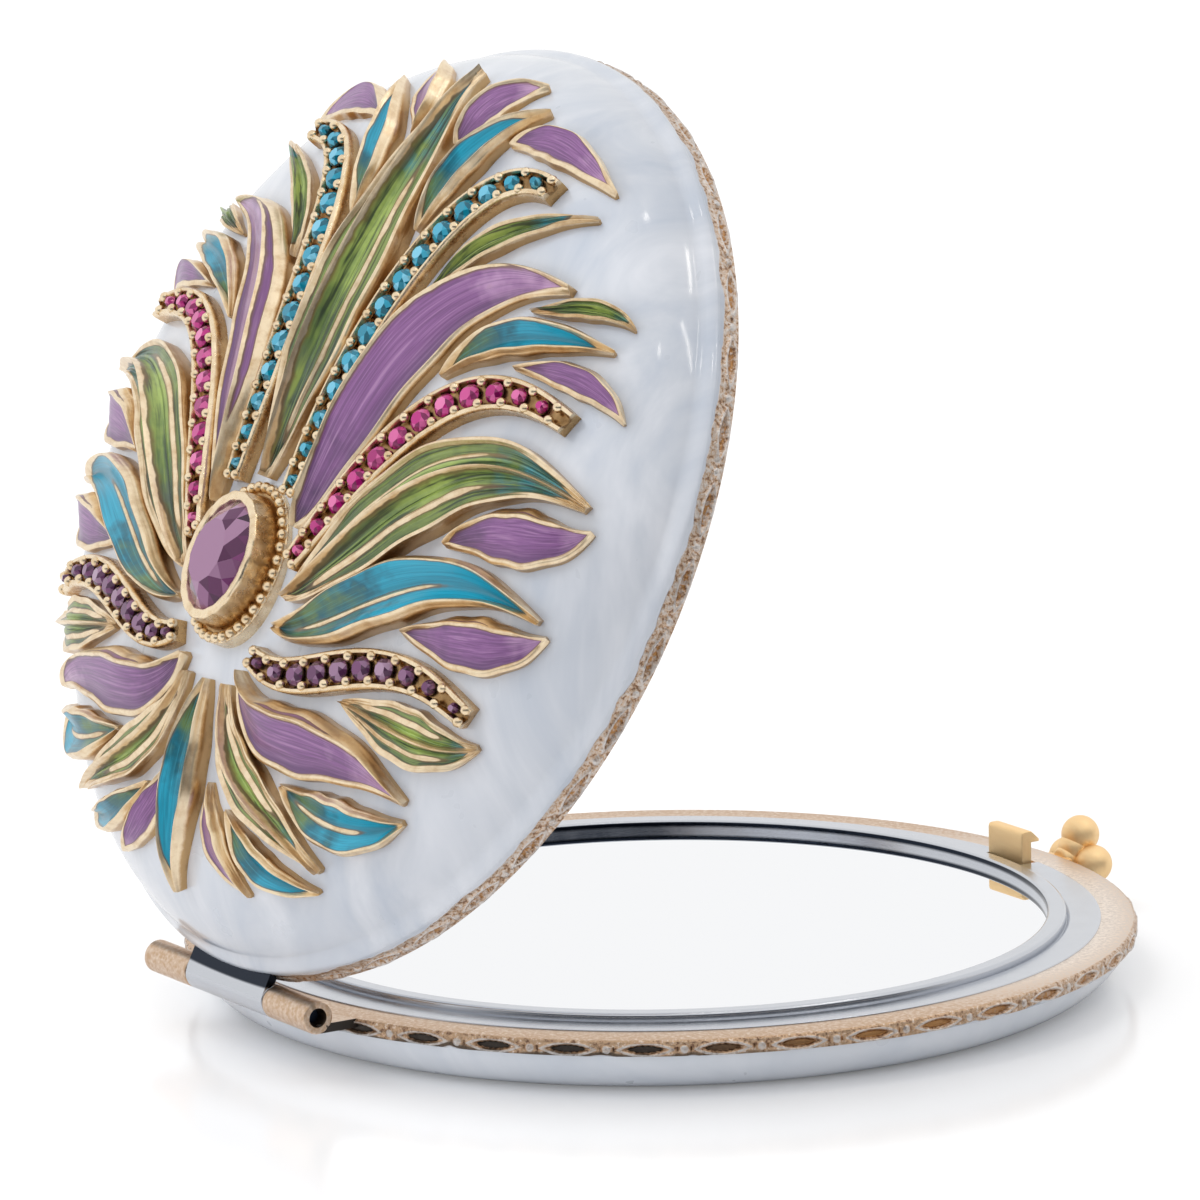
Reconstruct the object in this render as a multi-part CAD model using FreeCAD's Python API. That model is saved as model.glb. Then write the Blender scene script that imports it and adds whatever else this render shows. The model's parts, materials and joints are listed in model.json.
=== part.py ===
import FreeCAD, Part
import math
import os

V = FreeCAD.Vector

# Driving dimensions, in millimetres and degrees.
# The lid is drawn closed over the base and then turned open about the hinge.

# Case
case_radius = 35.0
foot_inset = 5.0
plate_height = 3.3
plate_wall = 1.0
enamel_inset = 0.4
base_rim_height = 1.15
lid_rim_height = 1.65
lid_lip_height = 0.25
lid_lip_width = 0.45
rim_wall = 1.8
rim_land = 2.55
ledge_height = 0.6
parting_gap = 0.1
open_angle = 64.0

# Domed lid: a steep shoulder under a wide crown, as two tangent arcs
shoulder_radius = 9.65
shoulder_lean = 10.1
crown_radius = 111.0
dome_wall = 1.2

# Mirrors, bezels and backings
mirror_thickness = 1.4
mirror_bevel = 0.3
mirror_clearance = 0.2
bezel_wall = 1.3
bezel_overlap = 1.0
bezel_lip = 0.8
bezel_groove = 0.25
flange_width = 1.4
flange_height = 0.65
pad_inset = 0.1
base_pad_thickness = 1.9
lid_pad_thickness = 1.2
backing_thickness = 0.6
seat_clearance = 0.05
skirt_clearance = 0.3
closing_gap = 0.25

# Hinge
barrel_radius = 1.2
barrel_length = 22.5
middle_length = 10.7
knuckle_gap = 0.1
hinge_offset = 0.1
hinge_rise = 0.5
leaf_thickness = 0.65
pin_radius = 0.5
pin_clearance = 0.04
pin_recess = 0.9

# Latch
latch_travel = 0.8
latch_clearance = 0.1
hook_width = 4.4
hook_depth = 0.9
hook_height = 2.4
nose_reach = 0.75
nose_height = 0.9
nose_edge = 0.2
strike_overlap = 0.5
strike_height = 0.6
strike_gap = 0.2
bar_width = 2.8
bar_height = 0.6
lug_width = 2.0
lug_depth = 0.5
lug_drop = 1.2
spring_half_span = 4.5
spring_rise = 1.0
spring_thickness = 0.2
spring_height = 0.8
button_stand = 1.0
button_ball_radius = 1.45
button_ball_spread = 1.65
button_ball_rise = 2.0
button_ball_drop = 0.3
button_neck_radius = 1.05
button_neck_length = 2.0
tang_radius = 0.35
tang_length = 1.0

# Ornament: a palmette of leaves and jewelled ribbons that springs from one stone
palmette_border = 3.5
leaf_height = 2.5
root_depth = 1.1
ribbon_height = 1.25
ribbon_wall = 0.4
ribbon_floor = 0.7
crystal_radius = 0.9
crystal_pitch = 2.25
crystal_clearance = 0.12
crystal_height = 0.62
crystal_table = 0.6
stone_offset = 8.0
setting_length = 10.6
setting_width = 9.0
setting_height = 2.6
setting_draft = 0.5
collar_reach = 0.75
collar_height = 0.55
collet_wall = 0.75
stone_sink = 1.3
stone_crown = 0.9
stone_girdle = 0.9
stone_culet = 0.86
stone_table = 0.62
stone_sides = 12


def arc_points(centre, radius, start, end):
    """Middle and end points of an arc between two angles in degrees."""
    middle = math.radians((start + end) / 2)
    last = math.radians(end)
    return tuple((centre[0] + radius * math.cos(a), centre[1] + radius * math.sin(a)) for a in (middle, last))


def section(start, *steps):
    """Closed outline in the r-z half plane: a step is a point, or an arc as (middle, end)."""
    edges = []
    here = V(start[0], 0, start[1])
    for step in steps + (start,):
        if isinstance(step[0], tuple):
            middle, end = (V(p[0], 0, p[1]) for p in step)
            edges.append(Part.Arc(here, middle, end).toShape())
        else:
            end = V(step[0], 0, step[1])
            if end.distanceToPoint(here) < 1e-7:
                continue
            edges.append(Part.LineSegment(here, end).toShape())
        here = end
    return Part.Face(Part.Wire(edges))


def turned(start, *steps):
    """Solid of revolution of an r-z outline about the case axis."""
    return section(start, *steps).revolve(V(0, 0, 0), V(0, 0, 1), 360)


def slab(width, near, far, low, high):
    """Box across the latch line, from one distance off the case axis to another."""
    return Part.makeBox(width, far - near, high - low, V(-width / 2, -far, low))


def open_lid(shape):
    """Turns a piece of the lid from closed to its rest angle."""
    turned_shape = shape.copy()
    turned_shape.rotate(V(0, hinge_y, hinge_z), V(-1, 0, 0), open_angle)
    return turned_shape


# Heights of the base
base_ledge = plate_height + ledge_height
base_top = plate_height + base_rim_height
skirt_low = plate_wall + skirt_clearance
base_mirror_low = plate_wall + base_pad_thickness
base_mirror_top = base_mirror_low + mirror_thickness
base_lip_top = base_mirror_top + bezel_lip
base_flange_top = base_ledge + flange_height

# Heights of the closed lid
lid_bottom = base_top + parting_gap
lid_seat = lid_bottom + lid_rim_height
lid_ledge = lid_seat - ledge_height
lid_flange_low = lid_ledge - flange_height
lid_lip_low = base_lip_top + closing_gap
lid_mirror_low = lid_lip_low + bezel_lip
lid_mirror_top = lid_mirror_low + mirror_thickness
lid_pad_top = lid_mirror_top + lid_pad_thickness

# Radii shared by both halves, from the rim inwards
foot_radius = case_radius - foot_inset
rim_inner = case_radius - rim_wall
rebate_radius = case_radius - rim_land
flange_outer = rebate_radius - seat_clearance
skirt_outer = flange_outer - flange_width
skirt_inner = skirt_outer - bezel_wall
mirror_radius = skirt_inner - mirror_clearance
lip_inner = mirror_radius - bezel_overlap
lip_outer = lip_inner + bezel_overlap + bezel_lip / 2
frame_bore = skirt_outer + seat_clearance
enamel_radius = case_radius - enamel_inset
dome_edge = case_radius - lid_lip_width - seat_clearance

# Hinge axis
hinge_y = case_radius + barrel_radius + hinge_offset
hinge_z = base_top + parting_gap / 2 + hinge_rise

# Dome arcs
shoulder_centre_radius = dome_edge - shoulder_radius * math.cos(math.radians(shoulder_lean))
shoulder_z = lid_seat - shoulder_radius * math.sin(math.radians(shoulder_lean))
crown_z = shoulder_z - math.sqrt((crown_radius - shoulder_radius) ** 2 - shoulder_centre_radius ** 2)
tangent_angle = math.degrees(math.atan2(shoulder_z - crown_z, shoulder_centre_radius))


def dome_profile(wall):
    """Dome outline steps from the axis down to the seat, at a depth under the outer face."""
    shoulder = shoulder_radius - wall
    foot_angle = math.degrees(math.asin((lid_seat - shoulder_z) / shoulder))
    crown = arc_points((0, crown_z), crown_radius - wall, 90, tangent_angle)
    side = arc_points((shoulder_centre_radius, shoulder_z), shoulder, tangent_angle, foot_angle)
    return (0, crown_z + crown_radius - wall), crown, side


def dome_point(x, y):
    """Point and outward normal of the dome over a plan position."""
    r = math.hypot(x, y)
    tangent_radius = crown_radius * math.cos(math.radians(tangent_angle))
    if r < tangent_radius:
        height = math.sqrt(crown_radius ** 2 - r ** 2)
        normal = V(x, y, height)
        point = V(x, y, crown_z + height)
    else:
        out = r - shoulder_centre_radius
        height = math.sqrt(shoulder_radius ** 2 - out ** 2)
        normal = V(x / r * out, y / r * out, height)
        point = V(x, y, shoulder_z + height)
    return point, normal.normalize()


def base_plate():
    """Shallow cup: flat foot, one round corner, even wall."""
    corner = ((enamel_radius - foot_radius) ** 2 + plate_height ** 2) / (2 * plate_height)
    centre = (foot_radius, corner)
    rise = math.degrees(math.asin((plate_height - corner) / corner))
    inner = corner - plate_wall
    inner_rise = math.degrees(math.asin((plate_height - corner) / inner))
    inner_mid, inner_low = arc_points(centre, inner, inner_rise, -90)
    inner_top = (foot_radius + inner * math.cos(math.radians(inner_rise)), plate_height)
    return turned((0, 0), (foot_radius, 0), arc_points(centre, corner, -90, rise), inner_top,
                  (inner_mid, inner_low), (0, plate_wall))


def base_frame():
    """Gilt rim ring with a ledge for the bezel, cut for the latch bar and hook."""
    ring = turned((case_radius, plate_height), (case_radius, base_top), (rebate_radius, base_top),
                  (rebate_radius, base_ledge), (frame_bore, base_ledge), (frame_bore, plate_height))
    return ring.cut(bar_slot()).cut(hook_slot(plate_height - ledge_height, base_top + flange_height))


def mirror_disc(low, face_up):
    """Round mirror glass with a bevelled edge on its face side."""
    disc = Part.makeCylinder(mirror_radius, mirror_thickness, V(0, 0, low))
    edge_z = low + mirror_thickness if face_up else low
    edges = [e for e in disc.Edges if abs(e.BoundBox.ZMin - edge_z) < 1e-6 and abs(e.BoundBox.ZMax - edge_z) < 1e-6]
    return disc.makeChamfer(mirror_bevel, edges)


def base_bezel():
    """Polished ring: lip over the glass, groove, flat flange and a skirt down to the floor."""
    ring = turned((lip_inner, base_mirror_top), (lip_inner, base_lip_top), (lip_outer, base_lip_top),
                  (lip_outer, base_flange_top - bezel_groove), (lip_outer + bezel_groove, base_flange_top),
                  (flange_outer, base_flange_top), (flange_outer, base_ledge), (skirt_outer, base_ledge),
                  (skirt_outer, skirt_low), (skirt_inner, skirt_low), (skirt_inner, base_mirror_top))
    return ring.cut(hook_slot(plate_height, base_lip_top)).cut(bar_slot())


def lid_frame():
    """Gilt rim ring of the lid: wall, ledge for the bezel and a thin lip round the enamel."""
    ring = turned((case_radius, lid_bottom), (case_radius, lid_seat + lid_lip_height),
                  (case_radius - lid_lip_width, lid_seat + lid_lip_height),
                  (case_radius - lid_lip_width, lid_seat), (frame_bore, lid_seat), (frame_bore, lid_ledge),
                  (rim_inner, lid_ledge), (rim_inner, lid_bottom))
    return ring.cut(hook_room(rim_inner - latch_clearance))


def lid_bezel():
    """Ring that holds the upper mirror, cut away where the hook comes up."""
    step = lip_outer + closing_gap
    ring = turned((lip_inner, lid_lip_low), (step, lid_lip_low), (step, lid_flange_low),
                  (flange_outer, lid_flange_low), (flange_outer, lid_ledge), (skirt_outer, lid_ledge),
                  (skirt_outer, lid_pad_top), (skirt_inner, lid_pad_top), (skirt_inner, lid_mirror_low),
                  (lip_inner, lid_mirror_low))
    return ring.cut(hook_room(flange_outer + seat_clearance))


def lid_plate():
    """Domed enamel shell of even wall."""
    top, crown, side = dome_profile(0)
    under, under_crown, under_side = dome_profile(dome_wall)
    return turned(top, crown, side, under_side[1], (under_side[0], under_crown[1]), (under_crown[0], under))


def dome_solid():
    """Filled dome, for trimming what sits on it."""
    top, crown, side = dome_profile(0)
    return turned(top, crown, side, (0, side[1][1]))


# Latch, measured outwards from the case axis along the front
hook_outer = flange_outer - latch_clearance - nose_reach / 2
hook_inner = hook_outer - hook_depth
bar_low = plate_height + latch_clearance
bar_top = bar_low + bar_height
bar_middle = bar_low + bar_height / 2
hook_top = base_flange_top + hook_height
nose_low = hook_top - nose_height
nose_tip = hook_outer + nose_reach
strike_inner = nose_tip - strike_overlap
button_inner = case_radius + button_stand
button_centre = button_inner + button_neck_length


def bar_slot():
    """Room in the base for the slide bar, open to the cup below."""
    return slab(bar_width + 2 * latch_clearance, hook_inner, case_radius + rim_wall,
                plate_height, bar_top + latch_clearance)


def hook_slot(low, high):
    """Room in the base for the hook over its travel."""
    near = hook_inner - latch_travel - latch_clearance
    return slab(hook_width + 2 * latch_clearance, near, hook_outer + latch_clearance, low, high)


def hook_room(far):
    """Room in the closed lid for the hook over its travel."""
    near = hook_inner - latch_travel - closing_gap
    return slab(hook_width + 2 * closing_gap, near, far, lid_bottom, hook_top + closing_gap)


def across(points, width):
    """Plate of one outline in the plane of the latch line, as (distance, height) points."""
    corners = [V(-width / 2, -p[0], p[1]) for p in points]
    return Part.Face(Part.makePolygon(corners + corners[:1])).extrude(V(width, 0, 0))


def latch_hook():
    """Upright hook plate with a ramped nose, its slide bar, the lug for the spring and the button's tang."""
    plate = across([(hook_inner, bar_low), (hook_outer, bar_low), (hook_outer, nose_low), (nose_tip, nose_low),
                    (nose_tip, nose_low + nose_edge), (hook_outer, hook_top), (hook_inner, hook_top)], hook_width)
    bar = slab(bar_width, hook_outer, button_inner, bar_low, bar_top)
    lug = slab(lug_width, hook_outer, hook_outer + lug_depth, bar_low - lug_drop, bar_low)
    return plate.fuse([bar, lug, tang()]).removeSplitter()


def tang():
    """Round end of the slide bar that the button is pressed on."""
    return Part.makeCylinder(tang_radius, tang_length, V(0, -button_inner, bar_middle), V(0, -1, 0))


def thumb_button():
    """Three balls in a trefoil on a short neck, bored for the tang of the slide bar."""
    top = bar_middle - button_ball_drop + button_ball_rise
    side = bar_middle - button_ball_drop
    places = [(-button_ball_spread, side), (button_ball_spread, side), (0, top)]
    balls = [Part.makeSphere(button_ball_radius, V(x, -button_centre, z), V(0, -1, 0)) for x, z in places]
    neck = Part.makeCylinder(button_neck_radius, button_neck_length, V(0, -button_inner, bar_middle), V(0, -1, 0))
    return neck.fuse(balls).cut(tang())


def latch_spring():
    """Bowed leaf spring between the lug and the bezel's skirt."""
    low = bar_low - lug_drop
    inside = hook_outer - spring_thickness
    strips = []
    for rise in (hook_outer, inside):
        ends = rise - spring_rise
        left, middle, right = V(-spring_half_span, -ends, low), V(0, -rise, low), V(spring_half_span, -ends, low)
        strips.append((Part.Arc(left, middle, right).toShape(), left, right))
    (outer, outer_left, outer_right), (inner, inner_left, inner_right) = strips
    wire = Part.Wire([outer, Part.LineSegment(outer_right, inner_right).toShape(), inner,
                      Part.LineSegment(inner_left, outer_left).toShape()])
    return Part.Face(wire).extrude(V(0, 0, spring_height))


def latch_strike(frame):
    """Catch plate on the wall of the lid rim, under the nose of the hook."""
    top = nose_low - strike_gap
    plate = slab(hook_width, strike_inner, rim_inner + rim_wall / 2, top - strike_height, top)
    return plate.cut(frame)


def knuckle(left, right, leaf_low, bore):
    """Rolled barrel between two stations of the hinge, with its leaf to the rim."""
    length = right - left
    barrel = Part.makeCylinder(barrel_radius, length, V(left, hinge_y, hinge_z), V(1, 0, 0))
    leaf = Part.makeBox(length, hinge_y - case_radius / 2, leaf_thickness, V(left, case_radius / 2, leaf_low))
    hole = Part.makeCylinder(bore, length, V(left, hinge_y, hinge_z), V(1, 0, 0))
    case = Part.makeCylinder(case_radius, 4 * barrel_radius, V(0, 0, hinge_z - 2 * barrel_radius))
    return barrel.fuse(leaf).cut(case).cut(hole).removeSplitter()


# Ornament. A plan position is (right, up), with up towards the latch.
# A leaf section lists (place across from -1 to 1, share of the height).
RIBBED = [(-1, 0.55), (-0.55, 0.5), (0, 1), (0.55, 0.5), (1, 0.55)]
BLADE = [(-1, 0.35), (-0.65, 1), (0.2, 0.62), (1, 0.3)]
GUTTER = [(-1, 0.75), (-0.72, 1), (0.05, 0.42), (0.75, 0.9), (1, 0.6)]
STATIONS = (0, 0.12, 0.3, 0.5, 0.7, 0.88, 1)

palmette_reach = dome_edge - palmette_border


def share(percent):
    """Length of a percentage of the palmette's reach."""
    return palmette_reach * percent / 100


def at(right, up):
    """Plan position in percentages of the palmette's reach."""
    return share(right), share(up)


def root(angle, stand_off):
    """Plan position off the edge of the stone's setting, at an angle from straight up."""
    turn = math.radians(angle)
    right = (setting_width / 2 + share(stand_off)) * math.sin(turn)
    up = (setting_length / 2 + share(stand_off)) * math.cos(turn)
    return right, up - stone_offset


# Each leaf: control points of its middle line from root to tip, width in percent, share of the height.
GREEN_LEAVES = [
    ([root(0, 3.5), at(0, 26), at(0, 58), at(0, 99)], 24, 1),
    ([at(30.5, 46), at(34, 57), at(42.5, 66), at(66, 73)], 7.2, 0.6),
    ([root(99, 8), at(45, -16), at(61, 23), at(100, 10)], 20.5, 1),
    ([root(160, 11.6), at(15, -72.5), at(29, -75), at(52, -85)], 12, 0.75),
    ([at(50.9, -48.1), at(71.1, -49.7), at(80.8, -53.4), at(90.4, -47.4)], 13.4, 0.6),
    ([at(63.3, 48.8), at(76.4, 51.8), at(82.4, 55.2), at(89.1, 51.5)], 5.2, 0.5),
]
TEAL_LEAVES = [
    ([at(14, 59), at(15.5, 70), at(17.5, 83), at(31.5, 94)], 9.5, 0.65),
    ([at(46.5, 28.5), at(56, 41.5), at(71, 45), at(89, 45)], 9, 0.65),
    ([root(115, 9), at(45, -37.5), at(64.5, -5), at(98.5, -17)], 14.5, 0.85),
    ([root(180, 10), at(0, -68), at(0, -84), at(0, -100)], 11.5, 0.75),
    ([at(36.8, -70.3), at(53.8, -75.9), at(63, -75.4), at(74.3, -68.7)], 12.6, 0.6),
    ([at(17.9, -79.8), at(29, -88.8), at(36.7, -91.5), at(50.2, -89.6)], 8.2, 0.5),
]
VIOLET_LEAVES = [
    ([root(60, 6.3), at(28, 10), at(28.5, 56.5), at(72, 55.5)], 18.5, 0.95),
    ([root(150, 9.8), at(26, -69), at(48.5, -53), at(75, -64.5)], 15.5, 0.85),
    ([at(9.5, -75), at(10.5, -84), at(16, -90), at(28, -96)], 8.5, 0.55),
    ([at(63.7, -28.9), at(83.2, -27.2), at(92.7, -27.3), at(100.3, -19.7)], 13.3, 0.6),
    ([at(9.7, 81.1), at(11, 90), at(14.3, 94.6), at(22.2, 100)], 10.8, 0.55),
    ([at(28.3, 84.3), at(37.6, 89.2), at(46.3, 87.4), at(63.9, 79.8)], 9.4, 0.55),
    ([at(66.5, 35.2), at(83.7, 38.2), at(91.3, 37.1), at(98.1, 30.7)], 7.2, 0.5),
    ([at(68.1, -7.4), at(84.1, 1.7), at(95.5, -3.4), at(102.2, 5.6)], 13.8, 0.65),
]
TEAL_RIBBON = [root(37.5, 5.6), at(14.3, 22.5), at(18.5, 84), at(51.5, 76)], 10
MAGENTA_RIBBON = [root(81, 7), at(36, 0), at(48.5, 39.5), at(89, 26.5)], 10
AMETHYST_RIBBON = [root(135, 9.6), at(38.5, -53.5), at(58, -28), at(88.5, -42)], 9.7


def curve_at(points, t):
    """Place and direction on a cubic curve given by its four control points."""
    p = [V(x, -up, 0) for x, up in points]
    u = 1 - t
    place = p[0] * u ** 3 + p[1] * (3 * u * u * t) + p[2] * (3 * u * t * t) + p[3] * t ** 3
    pull = (p[1] - p[0]) * (3 * u * u) + (p[2] - p[1]) * (6 * u * t) + (p[3] - p[2]) * (3 * t * t)
    return place, pull


def frame_at(points, t):
    """Dome point with the unit vectors along the curve, across it and out of the dome."""
    place, pull = curve_at(points, t)
    point, normal = dome_point(place.x, place.y)
    along = (pull - normal * pull.dot(normal)).normalize()
    return point, along, normal.cross(along), normal


def swell(t, ends):
    """Rises along a half wave from a share at the ends to 1 in the middle."""
    return ends + (1 - ends) * math.sin(math.pi * t) ** 0.9


def lofted(sections):
    """Solid through closed polygons set along a curve, trimmed to the dome."""
    wires = [Part.makePolygon(points + points[:1]) for points in sections]
    return Part.makeLoft(wires, True, False).cut(dome_solid())


def leaf(points, width, height, profile):
    """Leaf that widens from its root and runs to a point."""
    sections = []
    for t in STATIONS:
        point, along, side, normal = frame_at(points, t)
        half = share(width) / 2 * swell(t, 0.1)
        rise = leaf_height * height * swell(t, 0.45)
        crest = [point + side * (half * v) + normal * (rise * h) for v, h in profile]
        sections.append([point - side * half - normal * root_depth] + crest
                        + [point + side * half - normal * root_depth])
    return lofted(sections)


def ribbon_half(t, width):
    """Half width of a ribbon along its length, drawn in at both ends."""
    return share(width) / 2 * swell(t, 0.55)


def ribbon(points, width):
    """Channel with raised walls for a row of crystals."""
    sections = []
    for t in STATIONS:
        point, along, side, normal = frame_at(points, t)
        half = ribbon_half(t, width)
        edge = half - ribbon_wall
        outline = [(-half, -root_depth), (-half, ribbon_height), (-edge, ribbon_height), (-edge, ribbon_floor),
                   (edge, ribbon_floor), (edge, ribbon_height), (half, ribbon_height), (half, -root_depth)]
        sections.append([point + side * v + normal * h for v, h in outline])
    return lofted(sections)


def crystal(points, t, girdle):
    """Eight-sided stone seated on the ribbon's floor."""
    point, along, side, normal = frame_at(points, t)
    rings = []
    for size, lift in ((1, 0), (1, crystal_height / 3), (crystal_table, crystal_height)):
        ring = []
        for i in range(8):
            a = math.pi * (i + 0.5) / 4
            ring.append(point + along * (girdle * size * math.cos(a))
                        + side * (girdle * size * math.sin(a)) + normal * (ribbon_floor + seat_clearance + lift))
        rings.append(Part.makePolygon(ring + ring[:1]))
    return Part.makeLoft(rings, True, True)


def crystal_row(points, width):
    """Stones at an even pitch along a ribbon, smaller towards its drawn-in ends."""
    stones = []
    t = crystal_pitch / 2 / curve_at(points, 0)[1].Length
    while t < 1 - crystal_pitch / 3 / curve_at(points, 1)[1].Length:
        room = ribbon_half(t, width) - ribbon_wall - crystal_clearance
        stones.append(crystal(points, t, min(crystal_radius, room)))
        t += crystal_pitch / curve_at(points, t)[1].Length
    return stones


def both_sides(shapes):
    """The pieces with their mirror images, without a twin for one that lies on the centre line."""
    pieces = []
    for shape in shapes:
        pieces.append(shape)
        if shape.BoundBox.XMin > 0:
            pieces.append(shape.mirror(V(0, 0, 0), V(1, 0, 0)))
    return Part.makeCompound(pieces)


def ellipse_wire(length, width, z):
    """Ellipse about the centre of the stone, its length towards the hinge."""
    centre = V(0, stone_offset, z)
    axes = sorted([V(0, length / 2, 0), V(width / 2, 0, 0)], key=lambda axis: axis.Length, reverse=True)
    ellipse = Part.Ellipse(centre + axes[0], centre + axes[1], centre)
    return Part.Wire([ellipse.toShape()])


def stone_ring(scale, z):
    """Polygon of the stone's outline at one height."""
    length = setting_length / 2 - collet_wall - setting_draft
    width = setting_width / 2 - collet_wall - setting_draft
    ring = []
    for i in range(stone_sides):
        a = 2 * math.pi * i / stone_sides
        ring.append(V(scale * width * math.cos(a), stone_offset + scale * length * math.sin(a), z))
    return Part.makePolygon(ring + ring[:1])


setting_low = dome_point(0, stone_offset + setting_length / 2 + collar_reach)[0].z - root_depth
setting_top = dome_point(0, stone_offset)[0].z + setting_height


def centre_stone():
    """Faceted stone: a low pavilion under a crown with a wide table."""
    low = setting_top - stone_sink
    return Part.makeLoft([stone_ring(stone_culet, low), stone_ring(1, low + stone_girdle),
                          stone_ring(stone_table, setting_top + stone_crown)], True, True)


def stone_setting(stone):
    """Tapered collet on a low collar, with the seat of the stone cut into it."""
    narrow = 2 * setting_draft
    wide = 2 * collar_reach
    foot = ellipse_wire(setting_length, setting_width, setting_low)
    rim = ellipse_wire(setting_length - narrow, setting_width - narrow, setting_top)
    edge = ellipse_wire(setting_length + wide, setting_width + wide, setting_low)
    collar = Part.Face(edge).extrude(V(0, 0, setting_top - setting_height + collar_height - setting_low))
    return Part.makeLoft([foot, rim], True).fuse(collar).cut(dome_solid()).cut(stone)


ribbons = [TEAL_RIBBON, MAGENTA_RIBBON, AMETHYST_RIBBON]

# Hinge stations
barrel_end = barrel_length / 2
middle_end = middle_length / 2
outer_start = middle_end + knuckle_gap
base_leaf_low = hinge_z - barrel_radius
lid_leaf_low = hinge_z + barrel_radius - leaf_thickness
pin_length = barrel_length - 2 * pin_recess

closed_lid_frame = lid_frame()
stone = centre_stone()

base_pieces = {
    "base_plate": base_plate(),
    "base_frame": base_frame(),
    "base_bezel": base_bezel(),
    "base_mirror": mirror_disc(base_mirror_low, True),
    "base_pad": Part.makeCylinder(mirror_radius - pad_inset, base_pad_thickness, V(0, 0, plate_wall)),
    "hinge_knuckle_left": knuckle(outer_start, barrel_end, base_leaf_low, pin_radius),
    "hinge_knuckle_right": knuckle(-barrel_end, -outer_start, base_leaf_low, pin_radius),
    "hinge_pin": Part.makeCylinder(pin_radius, pin_length, V(-pin_length / 2, hinge_y, hinge_z), V(1, 0, 0)),
    "latch_spring": latch_spring(),
    "latch_hook": latch_hook(),
    "thumb_button": thumb_button(),
}

lid_pieces = {
    "lid_frame": closed_lid_frame,
    "lid_plate": lid_plate(),
    "lid_bezel": lid_bezel(),
    "lid_mirror": mirror_disc(lid_mirror_low, False),
    "lid_pad": Part.makeCylinder(mirror_radius - pad_inset, lid_pad_thickness, V(0, 0, lid_mirror_top)),
    "lid_backing": Part.makeCylinder(skirt_outer, backing_thickness, V(0, 0, lid_pad_top)),
    "hinge_knuckle_lid": knuckle(-middle_end, middle_end, lid_leaf_low, pin_radius + pin_clearance),
    "latch_strike": latch_strike(closed_lid_frame),
    "green_leaves": both_sides([leaf(*place, RIBBED) for place in GREEN_LEAVES]),
    "violet_leaves": both_sides([leaf(*place, BLADE) for place in VIOLET_LEAVES]),
    "teal_leaves": both_sides([leaf(*place, GUTTER) for place in TEAL_LEAVES]),
    "jewel_ribbons": both_sides([ribbon(*place) for place in ribbons]),
    "teal_crystals": both_sides(crystal_row(*TEAL_RIBBON)),
    "magenta_crystals": both_sides(crystal_row(*MAGENTA_RIBBON)),
    "amethyst_crystals": both_sides(crystal_row(*AMETHYST_RIBBON)),
    "stone_setting": stone_setting(stone),
    "centre_stone": stone,
}

os.makedirs("parts", exist_ok=True)
for name, shape in base_pieces.items():
    shape.exportStep("parts/" + name + ".step")
for name, shape in lid_pieces.items():
    open_lid(shape).exportStep("parts/" + name + ".step")
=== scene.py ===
"""Dresses a jewelled compact mirror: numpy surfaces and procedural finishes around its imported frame."""

import json
import math

import bpy
import numpy as np
from mathutils import Matrix, Vector


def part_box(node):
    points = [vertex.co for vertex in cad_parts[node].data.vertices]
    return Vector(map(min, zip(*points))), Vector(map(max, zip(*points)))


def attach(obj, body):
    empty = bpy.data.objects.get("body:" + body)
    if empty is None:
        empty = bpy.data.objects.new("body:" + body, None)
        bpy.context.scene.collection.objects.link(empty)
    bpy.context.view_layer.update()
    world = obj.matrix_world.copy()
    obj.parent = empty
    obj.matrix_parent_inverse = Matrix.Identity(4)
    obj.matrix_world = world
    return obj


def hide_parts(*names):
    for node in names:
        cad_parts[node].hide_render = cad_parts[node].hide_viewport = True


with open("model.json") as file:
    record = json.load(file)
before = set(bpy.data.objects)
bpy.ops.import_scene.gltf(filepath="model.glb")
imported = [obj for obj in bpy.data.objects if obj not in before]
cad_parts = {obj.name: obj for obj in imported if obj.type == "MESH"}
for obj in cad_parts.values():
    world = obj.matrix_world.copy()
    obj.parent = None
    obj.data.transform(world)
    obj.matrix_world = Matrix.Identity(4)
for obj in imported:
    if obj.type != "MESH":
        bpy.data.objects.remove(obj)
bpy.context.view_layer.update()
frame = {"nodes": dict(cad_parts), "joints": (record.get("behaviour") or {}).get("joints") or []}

bl_info = {
    "name": "Compact Mirror Dressing",
    "version": (1, 0, 0),
    "blender": (4, 5, 0),
    "location": "View3D > Sidebar > Compact",
    "description": "Builds the enamel, gilt, mirrors and stones of a jewelled compact around its frame",
    "category": "Object",
}

# Measures are in millimetres, and the lid is worked out closed and then turned open about its hinge.
MM = 0.001
WELD = 1e-5
ON_WALL = 1e-6
CREASE = math.radians(40.0)
HINGE = next(joint for joint in frame["joints"] if joint["name"] == "lid_hinge")
hinge_y = HINGE["pos_m"][1] / MM
hinge_z = HINGE["pos_m"][2] / MM
open_angle = math.radians(-HINGE["range_deg"][0])


def low(node, axis):
    """Lowest coordinate of a CAD node along an axis."""
    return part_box(node)[0]["xyz".index(axis)] / MM


def high(node, axis):
    """Highest coordinate of a CAD node along an axis."""
    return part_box(node)[1]["xyz".index(axis)] / MM


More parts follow.
